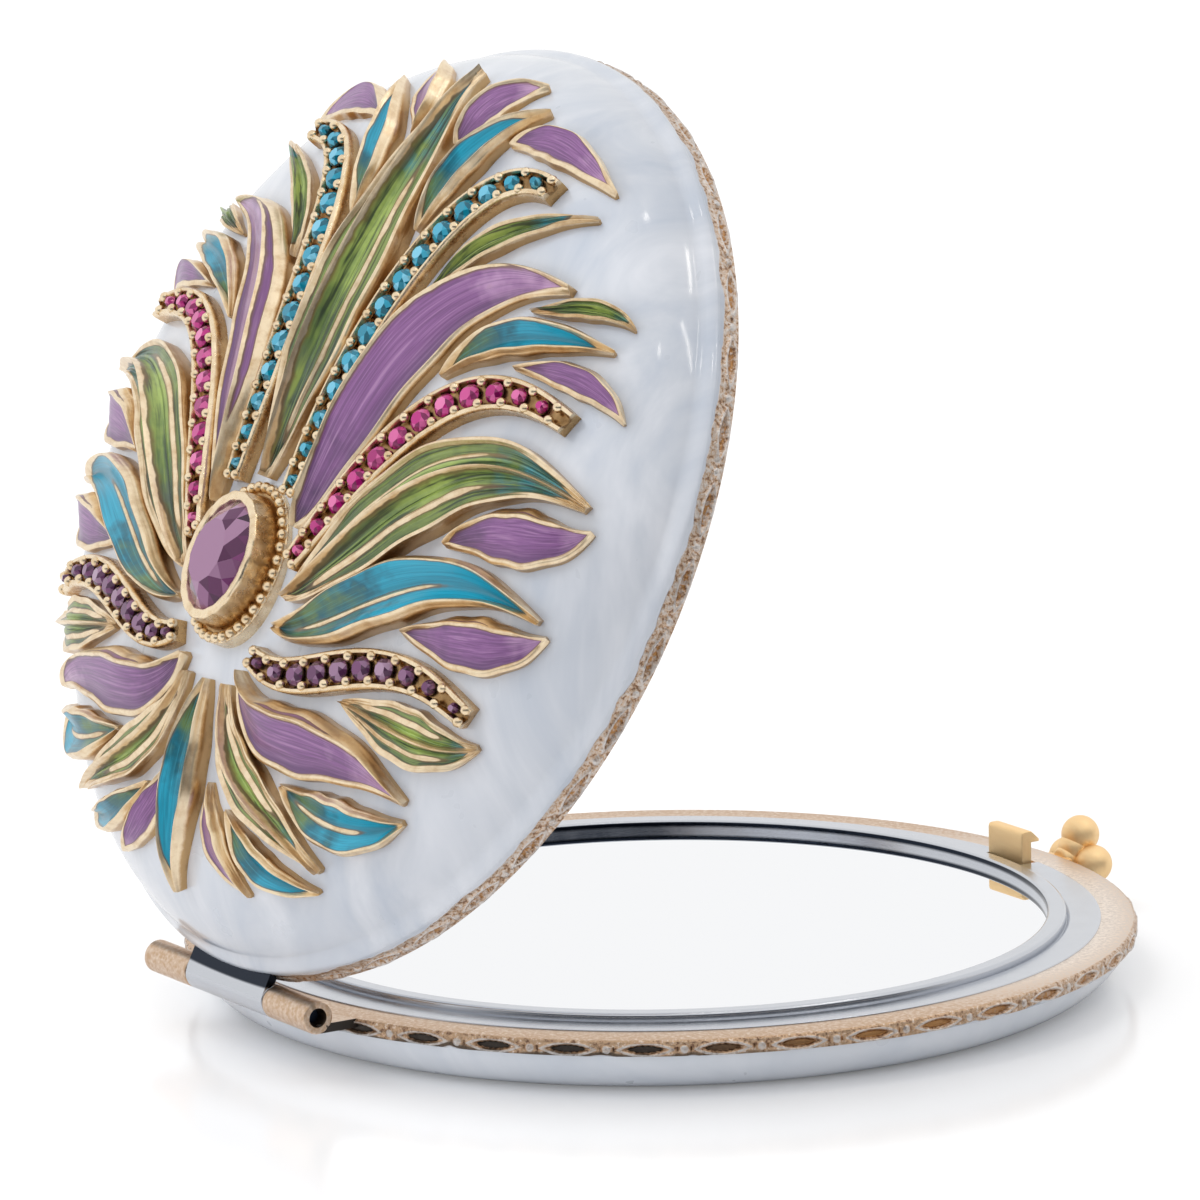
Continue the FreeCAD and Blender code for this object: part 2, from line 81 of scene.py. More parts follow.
# Base
case_radius = high("base_frame", "x")
rim_low = low("base_frame", "z")
base_top = high("base_frame", "z")
enamel_radius = high("base_plate", "x")
foot_radius = case_radius - 5.0
plate_wall = 1.0
ledge = 0.6
rim_wall = 1.8
mirror_radius = high("base_mirror", "x")
mirror_low = low("base_mirror", "z")
mirror_top = high("base_mirror", "z")
flange_outer = high("base_bezel", "x")
flange_top = rim_low + ledge + 0.65
lip_top = high("base_bezel", "z")
lip_inner = mirror_radius - 1.0
lip_outer = mirror_radius + 0.4
skirt_inner = mirror_radius + 0.2
skirt_outer = skirt_inner + 1.3
frame_bore = skirt_outer + 0.05
rebate = flange_outer + 0.05
BEZEL_COLUMNS = 400

# Closed lid
lid_low = base_top + 0.1
lid_seat = lid_low + 1.65
lid_rim_top = lid_seat + 0.25
lid_lip = 0.45
lid_ledge = lid_seat - ledge
lid_flange_low = lid_ledge - 0.65
lid_lip_low = lip_top + 0.25
lid_mirror_low = lid_lip_low + 0.8
lid_mirror_top = lid_mirror_low + mirror_top - mirror_low
lid_pad_top = lid_mirror_top + 1.2
dome_edge = case_radius - lid_lip - 0.05
dome_wall = 1.2
shoulder_radius = 9.65
shoulder_lean = math.radians(10.1)
shoulder_out = dome_edge - shoulder_radius * math.cos(shoulder_lean)
shoulder_z = lid_seat - shoulder_radius * math.sin(shoulder_lean)
crown_radius = 111.0
crown_z = shoulder_z - math.sqrt((crown_radius - shoulder_radius) ** 2 - shoulder_out ** 2)
crown_turn = math.atan2(shoulder_z - crown_z, shoulder_out)

# Hinge and latch
barrel_radius = hinge_z - low("hinge_knuckle_left", "z")
barrel_end = high("hinge_knuckle_left", "x")
barrel_start = low("hinge_knuckle_left", "x")
middle_end = high("hinge_knuckle_lid", "x")
pin_radius = 0.5
leaf_sheet = 0.65
seam_depth = 0.07
seam_width = 0.12
bore_flare = 0.22
bore_throat = 0.5
# Places across the hinge leaf where its painted shade fades out.
leaf_shade_fade = (0.85, 0.6)
hook_width = 4.4
hook_outer = flange_outer - 0.1 - 0.375
hook_inner = hook_outer - 0.9
hook_top = flange_top + 2.4
nose_low = hook_top - 0.9
nose_tip = hook_outer + 0.75
bar_low = rim_low + 0.1
bar_top = bar_low + 0.6
bar_width = 2.8
button_inner = case_radius + 1.0
button_centre = button_inner + 2.0
ball_radius = 1.45
ball_spread = 1.65
ball_low = (bar_low + bar_top) / 2 - 0.3
ball_high = ball_low + 2.0
neck_radius = 1.05
latch_notch = hook_width / 2 + 0.1
latch_near = hook_inner - 0.8 - 0.1
latch_far = hook_outer + 0.1
pocket_room = 0.15

# Stamped rims
RIM_COLUMNS = 1760
NOTCH_COLUMNS = 16
rim_turn = 0.38
outline_width = 0.12
rim_notch_height = 0.05
rim_notch_pitch = 0.42
rim_notch_line = -0.2
rim_notch_width = 0.08
recess_start = 0.12
recess_end = 0.3
pearl_flatness = 0.5
side_bar_depth = 0.14
side_bar_place = 0.5
side_bar_width = 0.09
side_bar_reach = 0.28

# Palmette
palmette_reach = dome_edge - 3.5
leaf_height = 2.5
leaf_foot = 1.0
wall_flare = 1.02
wall_waist = 0.55
flute_depth = 0.05
edge_roll = 0.3
edge_roll_line = 0.24
edge_roll_width = 0.22
ridge_height = 0.3
ridge_width = 0.2
ridge_least_half = 1.5
ribbon_height = 1.25
ribbon_floor = 0.7
ribbon_wall = 0.4
crystal_room = 0.12
grain_place = 0.6
grain_sink = 0.12
ribbon_shoulder = 0.86
ribbon_shoulder_drop = 0.25
stone_offset = 8.0
setting_length = 10.6
setting_width = 9.0
setting_height = 2.6
setting_draft = 0.5
collar_reach = 0.75
collar_height = 0.55
collet_wall = 0.75
stone_sink = 1.3
stone_girdle = 0.9
stone_crown = 0.9
collet_ripples = 18
collar_pearls = 36
collar_pearl_radius = 0.42
GOLDEN_SHARE = 0.618


def to_linear(code):
    """Linear colour of an sRGB hex value."""
    shares = [int(code[i:i + 2], 16) / 255 for i in (1, 3, 5)]
    return tuple(s / 12.92 if s <= 0.04045 else ((s + 0.055) / 1.055) ** 2.4 for s in shares) + (1.0,)


def colour(name, description, code):
    """Colour property with an sRGB default."""
    return bpy.props.FloatVectorProperty(name=name, description=description, subtype="COLOR", size=4,
                                         min=0.0, max=1.0, default=to_linear(code))


def length(name, description, millimetres):
    """Length property with its default in millimetres."""
    return bpy.props.FloatProperty(name=name, description=description, default=millimetres * MM, min=0.0,
                                   precision=5, unit="LENGTH")


class CompactSizes(bpy.types.PropertyGroup):
    """Sizes of the ornament."""

    marquise_count: bpy.props.IntProperty(name="Marquises", description="Stamped marquises round each rim",
                                          default=40, min=3)
    marquise_length: length("Marquise length", "Length of one stamped marquise", 3.9)
    marquise_half: length("Marquise half height", "Half the height of one stamped marquise", 0.46)
    outline_height: length("Outline height", "How far the outline of a marquise stands up", 0.13)
    recess_depth: length("Recess depth", "How deep the middle of a marquise is sunk", 0.2)
    pearl_radius: length("Pearl radius", "Radius of the stamped pearls between the marquises", 0.34)
    grain_radius: length("Grain radius", "Radius of the gilt grains that hold the crystals", 0.4)
    crystal_radius: length("Crystal radius", "Largest girdle radius of a crystal", 0.9)
    crystal_pitch: length("Crystal pitch", "Distance between crystals along a ribbon", 2.25)
    crystal_height: length("Crystal height", "Height of a crystal over its seat", 0.66)


class CompactColours(bpy.types.PropertyGroup):
    """Colours of the finishes."""

    pearl: colour("Pearl", "Main tone of the pearl enamel", "#C1C6CF")
    pearl_light: colour("Pearl light", "Light swirls of the pearl enamel", "#D1D4DB")
    pearl_shade: colour("Pearl shade", "Cool swirls of the pearl enamel", "#B1B9C6")
    # Painted light: the base cup has the dome's enamel, drawn paler.
    pearl_painted_light: colour("Pearl white", "Paler body of the base enamel", "#E4EAF2")
    gilt: colour("Gilt", "Main tone of the cast gilt", "#C9A473")
    # Rubbed edges, with a painted highlight on the crests of the relief.
    gilt_rubbed_and_painted_highlight: colour("Bright gilt", "Rubbed edges of the gilt", "#F4E0BF")
    # Patina, with painted shade in the hollows and at the foot of the relief.
    gilt_patina_and_painted_shade: colour("Patina", "Brown patina in the hollows of the gilt", "#6B4E2F")
    satin: colour("Satin gilt", "Brushed gilt of the latch", "#FFDEAA")
    rim_gilt: colour("Rim gilt", "Rosy gilt of the stamped rims", "#CBAB8C")
    # The bright grains also make the painted highlight on the base rim's latch side.
    rim_light: colour("Rim light", "Bright grains of the stamped rims", "#F2E4D6")
    rim_shade: colour("Rim shade", "Brown grains of the stamped rims", "#876A57")
    # Besides worn outlines and pearls, silver also makes the painted highlight on the base rim's latch side.
    rim_silver: colour("Rim silver", "Outlines and pearls worn to silver", "#D3CFCC")
    rim_gold: colour("Rim gold", "Clean hollows of the stamped rims", "#BE8E5C")
    # Besides patina in the rims' hollows, this colour is painted shade in the hinge bores and on the leaves'
    # cut ends.
    rim_patina_and_painted_shade: colour("Rim patina", "Dark hollows of the stamped rims", "#4A4541")
    steel: colour("Steel", "Polished steel of the bezels", "#C7CAD0")
    # Besides the blued pin, this colour is painted shade on the bezel wall and on the hinge leaf.
    gap: colour("Gap", "Blackened steel in the gaps", "#232A36")
    silvering: colour("Silvering", "Reflection of the mirror glass", "#F3F4F6")
    # The grey of the roots is partly a painted milky reflection on the green.
    green_root_and_painted_reflection: colour("Green root", "Greyed roots of the green leaves", "#58665A")
    # The dark colours are brush lines and roots, and also painted shade in the low parts of the leaves.
    green_dark_and_painted_shade: colour("Dark green", "Brush lines of the green leaves", "#263429")
    green: colour("Green", "Body of the green leaves", "#627B41")
    green_light: colour("Light green", "Brushed lights of the green leaves", "#9DB25A")
    teal_dark_and_painted_shade: colour("Dark teal", "Roots of the teal leaves", "#0B5E70")
    teal: colour("Teal", "Body of the teal leaves", "#0E96B3")
    teal_light: colour("Light teal", "Brushed lights of the teal leaves", "#3FB4CF")
    violet_dark_and_painted_shade: colour("Dark violet", "Roots of the violet leaves", "#4A2F55")
    violet: colour("Violet", "Body of the violet leaves", "#7D4F85")
    violet_light: colour("Light violet", "Brushed lights of the violet leaves", "#B690B6")
    teal_stone: colour("Teal crystal", "Body of the teal crystals", "#0A95B4")
    magenta_stone: colour("Magenta crystal", "Body of the magenta crystals", "#B5187A")
    amethyst_stone: colour("Amethyst crystal", "Body of the amethyst crystals", "#6E3C68")
    centre_stone: colour("Centre stone", "Body of the large violet stone", "#6E2A63")
    card: colour("Card", "Backing pads under the mirrors", "#8C8880")
    floor: colour("Floor", "Pale acrylic floor", "#F4F4F5")


# Meshes


class Shell:
    """Points with triangles and quads over them, and named numbers on points and on faces."""

    def __init__(self, points, tris, quads, values=None, flash=None):
        self.points = points
        self.tris = tris
        self.quads = quads
        self.values = values or {}
        self.flash = flash

    def volume(self):
        """Signed volume, from the cone of each face to the origin."""
        corners = [self.tris, self.quads[:, (0, 1, 2)], self.quads[:, (0, 2, 3)]]
        a, b, c = (self.points[np.concatenate([k[:, i] for k in corners])] for i in range(3))
        return np.einsum("ij,ij->", a, np.cross(b, c)) / 6

    def outward(self):
        """The same shell with its faces turned to the outside."""
        if self.volume() < 0:
            self.tris = self.tris[:, ::-1]
            self.quads = self.quads[:, ::-1]
        return self

    def mirrored(self):
        """Twin on the other side of the centre line."""
        points = self.points * np.array((-1.0, 1.0, 1.0))
        return Shell(points, self.tris, self.quads, dict(self.values), self.flash).outward()


def skin(grid, **values):
    """Quads over a grid of points, welded where they meet.

    Points at one place become one, so that seams and poles close: a quad with two corners there becomes a
    triangle, and one with more is dropped. values are numbers on the same grid, or one for all of it.
    """
    rows, columns = grid.shape[:2]
    index = np.arange(rows * columns).reshape(rows, columns)
    quads = np.stack([index[:-1, :-1], index[:-1, 1:], index[1:, 1:], index[1:, :-1]], -1).reshape(-1, 4)
    points = grid.reshape(-1, 3)
    places = np.round(points / WELD).astype(np.int64)
    first, twin = np.unique(places, axis=0, return_index=True, return_inverse=True)[1:]
    quads = twin.reshape(-1)[quads]
    same = quads == np.roll(quads, -1, axis=1)
    count = same.sum(1)
    tris = [np.delete(quads[(count == 1) & same[:, k]], k, axis=1) for k in range(4)]
    flat = {name: np.broadcast_to(v, (rows, columns)).reshape(-1)[first] for name, v in values.items()}
    return Shell(points[first], np.concatenate(tris), quads[count == 0], flat).outward()


def joined(shells):
    """One shell from several, each keeping its own faces."""
    starts = np.cumsum([0] + [len(s.points) for s in shells[:-1]])
    names = set().union(*(s.values for s in shells))
    values = {n: np.concatenate([s.values.get(n, np.zeros(len(s.points))) for s in shells]) for n in names}
    flash = None
    if shells[0].flash is not None:
        flash = tuple(np.concatenate([s.flash[k] for s in shells]) for k in range(2))
    return Shell(np.concatenate([s.points for s in shells]),
                 np.concatenate([s.tris + k for s, k in zip(shells, starts)]),
                 np.concatenate([s.quads + k for s, k in zip(shells, starts)]), values, flash)


def placed(shell, origin, axes, scale):
    """Copy of a template shell, scaled along three axes and moved to an origin."""
    points = origin + (shell.points * scale) @ np.asarray(axes)
    return Shell(points, shell.tris, shell.quads, dict(shell.values), shell.flash)


def opened(points):
    """Points of the closed lid, turned about the hinge to the rest angle."""
    y = points[:, 1] - hinge_y
    z = points[:, 2] - hinge_z
    cos, sin = math.cos(open_angle), math.sin(open_angle)
    return np.stack([points[:, 0], hinge_y + y * cos + z * sin, hinge_z + z * cos - y * sin], 1)


def piece(name, shells, material, body, nodes, smooth=True):
    """Mesh object from shells, riding on a body in place of CAD nodes."""
    shell = joined(shells)
    points = opened(shell.points) if body == "lid" else shell.points
    mesh = bpy.data.meshes.new(name)
    tris, quads = shell.tris, shell.quads
    mesh.vertices.add(len(points))
    mesh.vertices.foreach_set("co", (points * MM).astype(np.float32).ravel())
    corners = np.concatenate([tris.ravel(), quads.ravel()]).astype(np.int32)
    mesh.loops.add(len(corners))
    mesh.loops.foreach_set("vertex_index", corners)
    starts = np.concatenate([3 * np.arange(len(tris)), 3 * len(tris) + 4 * np.arange(len(quads))])
    mesh.polygons.add(len(starts))
    mesh.polygons.foreach_set("loop_start", starts.astype(np.int32))
    mesh.polygons.foreach_set("use_smooth", np.full(len(starts), smooth))
    mesh.update(calc_edges=True)
    if smooth:
        mesh.set_sharp_from_angle(angle=CREASE)
    for key, values in shell.values.items():
        attribute = mesh.attributes.new(key, "FLOAT", "POINT")
        attribute.data.foreach_set("value", values.astype(np.float32))
    if shell.flash is not None:
        attribute = mesh.attributes.new("flash", "FLOAT", "FACE")
        attribute.data.foreach_set("value", np.concatenate(shell.flash).astype(np.float32))
    mesh.materials.append(material)
    obj = bpy.data.objects.new(name, mesh)
    bpy.context.scene.collection.objects.link(obj)
    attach(obj, body)
    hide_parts(*nodes)


# Outlines and turned forms


FILLET_ROOM = 0.36
FILLET_GUARD = 1.3


def rounded(corners, steps=5):
    """Closed outline through corners given as (across, up, fillet).

    A fillet is a quadratic curve from one fillet length before the corner to one after it, with a point
    beside each end that keeps the straight runs flat.
    """
    out = []
    t = np.linspace(0, 1, steps)[:, None]
    for i, (x, y, fillet) in enumerate(corners):
        corner = np.array((x, y))
        before = np.array(corners[i - 1][:2]) - corner
        after = np.array(corners[(i + 1) % len(corners)][:2]) - corner
        room = FILLET_ROOM * min(np.linalg.norm(before), np.linalg.norm(after))
        size = min(fillet, room)
        if size <= 0:
            out.append(corner[None])
            continue
        before = before / np.linalg.norm(before) * size
        after = after / np.linalg.norm(after) * size
        out.append((corner + FILLET_GUARD * before)[None])
        out.append(corner + (1 - t) ** 2 * before + t ** 2 * after)
        out.append((corner + FILLET_GUARD * after)[None])
    out.append(out[0][:1])
    return np.concatenate(out)


def arc(centre_r, centre_z, radius, start, end, steps):
    """Points of an arc in the r-z plane, as corners without a fillet."""
    a = np.linspace(start, end, steps)
    return [(centre_r + radius * math.cos(k), centre_z + radius * math.sin(k), 0) for k in a]


def turned(outline, columns=320, notch=None, relief=None):
    """Outline (r, z) carried once round the case axis.

    notch is (half width, trim): within that half width of the latch line, trim(r, z) gives the cut-back
    radius. relief(angle, r, z) is added to the radius.
    """
    angles = np.linspace(0, 2 * math.pi, columns + 1)
    if notch:
        half = math.asin(notch[0] / latch_near)
        clear = np.linspace(-math.pi / 2 + half, 1.5 * math.pi - half, columns)
        gap = np.linspace(1.5 * math.pi - half, 1.5 * math.pi + half, NOTCH_COLUMNS)
        angles = np.concatenate([clear, gap, clear[:1]])
    r = outline[:, :1] + 0 * angles
    z = outline[:, 1:] + 0 * angles
    if notch:
        cut = slice(columns, columns + NOTCH_COLUMNS)
        r[:, cut] = notch[1](r, z)[:, cut]
    if relief is not None:
        r = r + relief(angles, r, z)
    return np.stack([r * np.cos(angles), r * np.sin(angles), z], -1)


def carried(outline, stations, heart):
    """Outline (y, z) carried along X through stations (x, size), closed to its heart at both ends."""
    full = [(stations[0][0], 0)] + list(stations) + [(stations[-1][0], 0)]
    x, size = (np.array(column)[:, None] for column in zip(*full))
    y = heart[0] + (outline[:, 0] - heart[0]) * size
    z = heart[1] + (outline[:, 1] - heart[1]) * size
    return np.stack([x + 0 * y, y, z], -1)


def bump_at(x, place, width):
    """Bell curve of height 1 about a place."""
    return np.exp(-((x - place) / width) ** 2)


def ramped(x, start, end):
    """Smooth step from 0 to 1 between two values."""
    t = np.clip((x - start) / (end - start), 0, 1)
    return t * t * (3 - 2 * t)


def stamped(sizes, middle):
    """Relief of a stamped rim about a height: marquises with raised outlines, and a pearl between two.

    A marquise is bounded by two parabolas. With d the distance outside them, its outline is a bell curve
    of d, its middle is sunk where d is well below 0, and fine notches stand along the inner edge. Each pearl
    lies between two sunk bars.
    """
    pitch = 2 * math.pi * case_radius / sizes.marquise_count
    length_mm = sizes.marquise_length / MM
    half = sizes.marquise_half / MM
    pearl = sizes.pearl_radius / MM

    def relief(angles, r, z):
        s = np.mod(angles * case_radius + rim_turn * pitch, pitch) - pitch / 2
        w = z - middle
        slope = 8 * half * np.abs(s) / length_mm ** 2
        d = (np.abs(w) - half * (1 - (2 * s / length_mm) ** 2)) / np.sqrt(1 + slope ** 2)
        outline = bump_at(d, 0, outline_width) * (sizes.outline_height / MM)
        waves = rim_notch_height * np.cos(2 * math.pi * s / rim_notch_pitch)
        notches = waves * bump_at(d, rim_notch_line, rim_notch_width)
        sunk = ramped(-d, recess_start, recess_end) * (sizes.recess_depth / MM)
        off = np.abs(s) - pitch / 2
        dots = pearl_flatness * np.sqrt(np.clip(pearl ** 2 - off ** 2 - w ** 2, 0, None))
        bars = side_bar_depth * bump_at(np.abs(off), side_bar_place, side_bar_width)
        bars = bars * bump_at(w, 0, side_bar_reach)
        wall = np.abs(r - case_radius) < ON_WALL
        return np.where(wall, outline + notches - sunk + dots - bars, 0.0)

    return relief


def rim_wall_rows(bottom, top, rows):
    """Close rows of the outer wall, as corners without a fillet."""
    return [(case_radius, z, 0) for z in np.linspace(bottom, top, rows)]


def stamped_ring(outline, sizes, middle, enamel_line, tarnish, worn, notch):
    """Rim ring with its relief, the depth of the stamping, its wear with a painted highlight and the height
    past the enamel's edge.

    tarnish is (low, high): the hollows are darker towards the hinge side. worn is (low, high), how far the
    grains turn to silver, rising towards the latch side, where it is a painted highlight. grit is 1 on the
    wall, small on the flat top and below 0, which is paler as a painted highlight, on the latch side.
    """
    relief = stamped(sizes, middle)
    plain = turned(outline, RIM_COLUMNS, notch)
    grid = turned(outline, RIM_COLUMNS, notch, relief)
    depth = np.hypot(grid[..., 0], grid[..., 1]) - np.hypot(plain[..., 0], plain[..., 1])
    past = (grid[..., 2] - enamel_line) * (1 if enamel_line > base_top else -1)
    dark = tarnish[0] + (tarnish[1] - tarnish[0]) * ramped(grid[..., 1] / case_radius, 0.1, 0.6)
    # Towards the latch side the top is paler and its grains turn silver, as a painted highlight.
    rubbed = ramped(-0.55 * plain[..., 0] - 0.84 * plain[..., 1], 0.5 * case_radius, 0.95 * case_radius)
    wall = ramped(np.hypot(plain[..., 0], plain[..., 1]), case_radius - 0.3, case_radius - 0.05)
    grit = wall + (1 - wall) * (0.2 - 0.7 * rubbed)
    silvered = worn[0] + (worn[1] - worn[0]) * rubbed
    return skin(grid, depth=depth, past=past, tarnish=dark, grit=grit, silvered=silvered)


# Palmette. A plan position is (right, up), with up towards the latch.


def share(percent):
    """Length of a percentage of the palmette's reach."""
    return palmette_reach * percent / 100


def at(right, up):
    """Plan position in percentages of the palmette's reach."""
    return share(right), share(up)


def root(angle, stand_off):
    """Plan position off the edge of the stone's setting, at an angle from straight up."""
    turn = math.radians(angle)
    right = (setting_width / 2 + share(stand_off)) * math.sin(turn)
    up = (setting_length / 2 + share(stand_off)) * math.cos(turn)
    return right, up - stone_offset


# Each leaf: control points of its middle line from root to tip, width in percent, share of the height.
GREEN_LEAVES = [
    ([root(0, 3.5), at(0, 26), at(0, 58), at(0, 99)], 24, 1),
    ([at(30.5, 46), at(34, 57), at(42.5, 66), at(66, 73)], 7.2, 0.6),
    ([root(99, 8), at(45, -16), at(61, 23), at(100, 10)], 20.5, 1),
    ([root(160, 11.6), at(15, -72.5), at(29, -75), at(52, -85)], 12, 0.75),
    ([at(50.9, -48.1), at(71.1, -49.7), at(80.8, -53.4), at(90.4, -47.4)], 13.4, 0.6),
    ([at(63.3, 48.8), at(76.4, 51.8), at(82.4, 55.2), at(89.1, 51.5)], 5.2, 0.5),
]
TEAL_LEAVES = [
    ([at(14, 59), at(15.5, 70), at(17.5, 83), at(31.5, 94)], 9.5, 0.65),
    ([at(46.5, 28.5), at(56, 41.5), at(71, 45), at(89, 45)], 9, 0.65),
    ([root(115, 9), at(45, -37.5), at(64.5, -5), at(98.5, -17)], 14.5, 0.85),
    ([root(180, 10), at(0, -68), at(0, -84), at(0, -100)], 11.5, 0.75),
    ([at(36.8, -70.3), at(53.8, -75.9), at(63, -75.4), at(74.3, -68.7)], 12.6, 0.6),
    ([at(17.9, -79.8), at(29, -88.8), at(36.7, -91.5), at(50.2, -89.6)], 8.2, 0.5),
]
VIOLET_LEAVES = [
    ([root(60, 6.3), at(28, 10), at(28.5, 56.5), at(72, 55.5)], 18.5, 0.95),
    ([root(150, 9.8), at(26, -69), at(48.5, -53), at(75, -64.5)], 15.5, 0.85),
    ([at(9.5, -75), at(10.5, -84), at(16, -90), at(28, -96)], 8.5, 0.55),
    ([at(63.7, -28.9), at(83.2, -27.2), at(92.7, -27.3), at(100.3, -19.7)], 13.3, 0.6),
    ([at(9.7, 81.1), at(11, 90), at(14.3, 94.6), at(22.2, 100)], 10.8, 0.55),
    ([at(28.3, 84.3), at(37.6, 89.2), at(46.3, 87.4), at(63.9, 79.8)], 9.4, 0.55),
    ([at(66.5, 35.2), at(83.7, 38.2), at(91.3, 37.1), at(98.1, 30.7)], 7.2, 0.5),
    ([at(68.1, -7.4), at(84.1, 1.7), at(95.5, -3.4), at(102.2, 5.6)], 13.8, 0.65),
]
TEAL_RIBBON = [root(37.5, 5.6), at(14.3, 22.5), at(18.5, 84), at(51.5, 76)], 10
MAGENTA_RIBBON = [root(81, 7), at(36, 0), at(48.5, 39.5), at(89, 26.5)], 10
AMETHYST_RIBBON = [root(135, 9.6), at(38.5, -53.5), at(58, -28), at(88.5, -42)], 9.7

# Leaf sections: knots as (place across, share of the height).
RIBBED = [(-1, 0.5), (-0.62, 0.46), (-0.2, 0.6), (0, 1), (0.2, 0.6), (0.62, 0.46), (1, 0.5)]
BLADE = [(-1, 0.35), (-0.65, 1), (0.2, 0.6), (1, 0.32)]
GUTTER = [(-1, 0.62), (-0.74, 1), (0.05, 0.42), (0.76, 0.9), (1, 0.55)]


def curve(points, t):
    """Places and pulls on a cubic curve of four control points, on the plan as (x, y)."""
    p = np.array(points) * np.array((1.0, -1.0))
    u = 1 - t
    place = np.stack([u ** 3, 3 * u * u * t, 3 * u * t * t, t ** 3], 1) @ p
    pull = np.stack([3 * u * u, 6 * u * t, 3 * t * t], 1) @ np.diff(p, axis=0)
    return place, pull


def dome(plan):
    """Points and outward normals of the dome over the plan: a wide crown arc and a tangent shoulder arc."""
    x, y = plan[:, 0], plan[:, 1]
    r = np.hypot(x, y)
    out = r - shoulder_out
    crown = np.sqrt(crown_radius ** 2 - r ** 2)
    shoulder = np.sqrt(np.clip(shoulder_radius ** 2 - out ** 2, 0, None))
    inside = r < crown_radius * math.cos(crown_turn)
    z = np.where(inside, crown_z + crown, shoulder_z + shoulder)
    lean = np.where(inside, 1 / crown_radius, out / np.maximum(r, 1e-9) / shoulder_radius)
    rise = np.where(inside, crown / crown_radius, shoulder / shoulder_radius)
    return np.stack([x, y, z], 1), np.stack([x * lean, y * lean, rise], 1)


def frames(points, t):
    """Dome points along a curve, with the unit vectors along it, across it and out of the dome."""
    place, pull = curve(points, t)
    point, normal = dome(place)
    pull = np.concatenate([pull, np.zeros((len(t), 1))], 1)
    along = pull - normal * np.sum(pull * normal, 1, keepdims=True)
    along = along / np.linalg.norm(along, axis=1, keepdims=True)
    return point, along, np.cross(normal, along), normal


def swell(t, ends):
    """Rises along a half wave from a share at the ends to 1 in the middle."""
    return ends + (1 - ends) * np.sin(math.pi * t) ** 0.9


def through(v, knots):
    """Smooth line through knots, level at each of them."""
    places = np.array([k[0] for k in knots])
    heights = np.array([k[1] for k in knots])
    k = np.clip(np.searchsorted(places, v, side="right") - 1, 0, len(places) - 2)
    t = ramped(v, places[k], places[k + 1])
    return heights[k] + (heights[k + 1] - heights[k]) * t


def strip(points, t, half, crest_across, crest_lift, depth, gilt, seed):
    """Closed tube over the dome: a crest of given places across and lifts, side walls and a sunk foot.

    The section is carried along the curve in the dome's own frames, and both ends close to a point.
    """
    point, _, side, normal = frames(points, t)
    columns = len(crest_across)
    edge = np.ones((len(t), 1))
    foot = -leaf_foot * edge
    lifts = [foot, crest_lift[:, :1] * wall_waist, crest_lift, crest_lift[:, -1:] * wall_waist, foot, foot]
    places = np.concatenate([[-wall_flare, -wall_flare], crest_across, [wall_flare, wall_flare, -wall_flare]])
    lift = np.concatenate(lifts, 1)
    across = half[:, None] * places
    grid = point[:, None] + side[:, None] * across[..., None] + normal[:, None] * lift[..., None]
    ends = [np.repeat(grid[k].mean(0)[None, None], columns + 5, axis=1) for k in (0, -1)]
    grid = np.concatenate([ends[0], grid, ends[1]])
    walls = np.concatenate([[-1.2, -1.1], crest_across, [1.1, 1.2, -1.2]])
    run = np.concatenate([[0], t, [1]])[:, None]

    def spread(inner, wall, foot):
        """Numbers of the crest, carried on over the side walls, the foot and the ends."""
        wide = np.pad(inner, ((0, 0), (2, 3)), constant_values=foot)
        wide[:, 1] = wall
        wide[:, -3] = wall
        ends = np.full((1, wide.shape[1]), wall)
        return np.concatenate([ends, wide, ends])

    # depth is painted shade with patina: 0.3 on the side walls and 0.75 on the foot against the dome.
    return skin(grid, across=walls[None], along=run, depth=spread(depth, 0.3, 0.75),
                gilt=spread(gilt, 1.0, 1.0), seed=seed)


def leaf(place, section, flutes, ridges, seed):
    """Leaf with a rolled gilt edge and gilt ridges between painted flutes.

    The section goes through knots, swells along a half wave and is waved by the flutes. The edge roll and
    the ridges are bell curves of a distance in millimetres. A ridge is (place across, start, end), and it
    fades in and out along the leaf.
    """
    points, width, height = place
    t = np.linspace(0, 1, 90)
    v = np.linspace(-1, 1, 61)
    half = share(width) / 2 * swell(t, 0.1) * (1 + 0.035 * np.sin(8 * math.pi * t))
    rise = leaf_height * height * swell(t, 0.45)[:, None]
    crest = through(v, section)
    lift = rise * (crest + flute_depth * np.cos(flutes * math.pi * v))
    edge = (1 - np.abs(v)) * half[:, None]
    lift = lift + edge_roll * height * bump_at(edge, edge_roll_line, edge_roll_width)
    broad = half.max()
    gilt = 1 - ramped(edge, min(0.3, 0.2 * broad), min(0.58, 0.42 * broad))
    for line, start, end in ridges if broad > ridge_least_half else ():
        fade = ramped(t, start - 0.1, start + 0.1) * ramped(t, end + 0.12, end - 0.12)
        bell = bump_at((v - line) * half[:, None], 0, ridge_width) * fade[:, None]
        lift = lift + ridge_height * height * bell
        gilt = np.maximum(gilt, bell)
    # The low parts of the section are darkened as painted shade.
    hollow = np.clip(0.6 - crest, 0, 1) * (1 - gilt)
    return strip(points, t, half, v, lift, hollow, gilt, seed)


def ribbon_half(t, width):
    """Half width of a ribbon along its length, drawn in at both ends."""
    return share(width) / 2 * swell(t, 0.55)


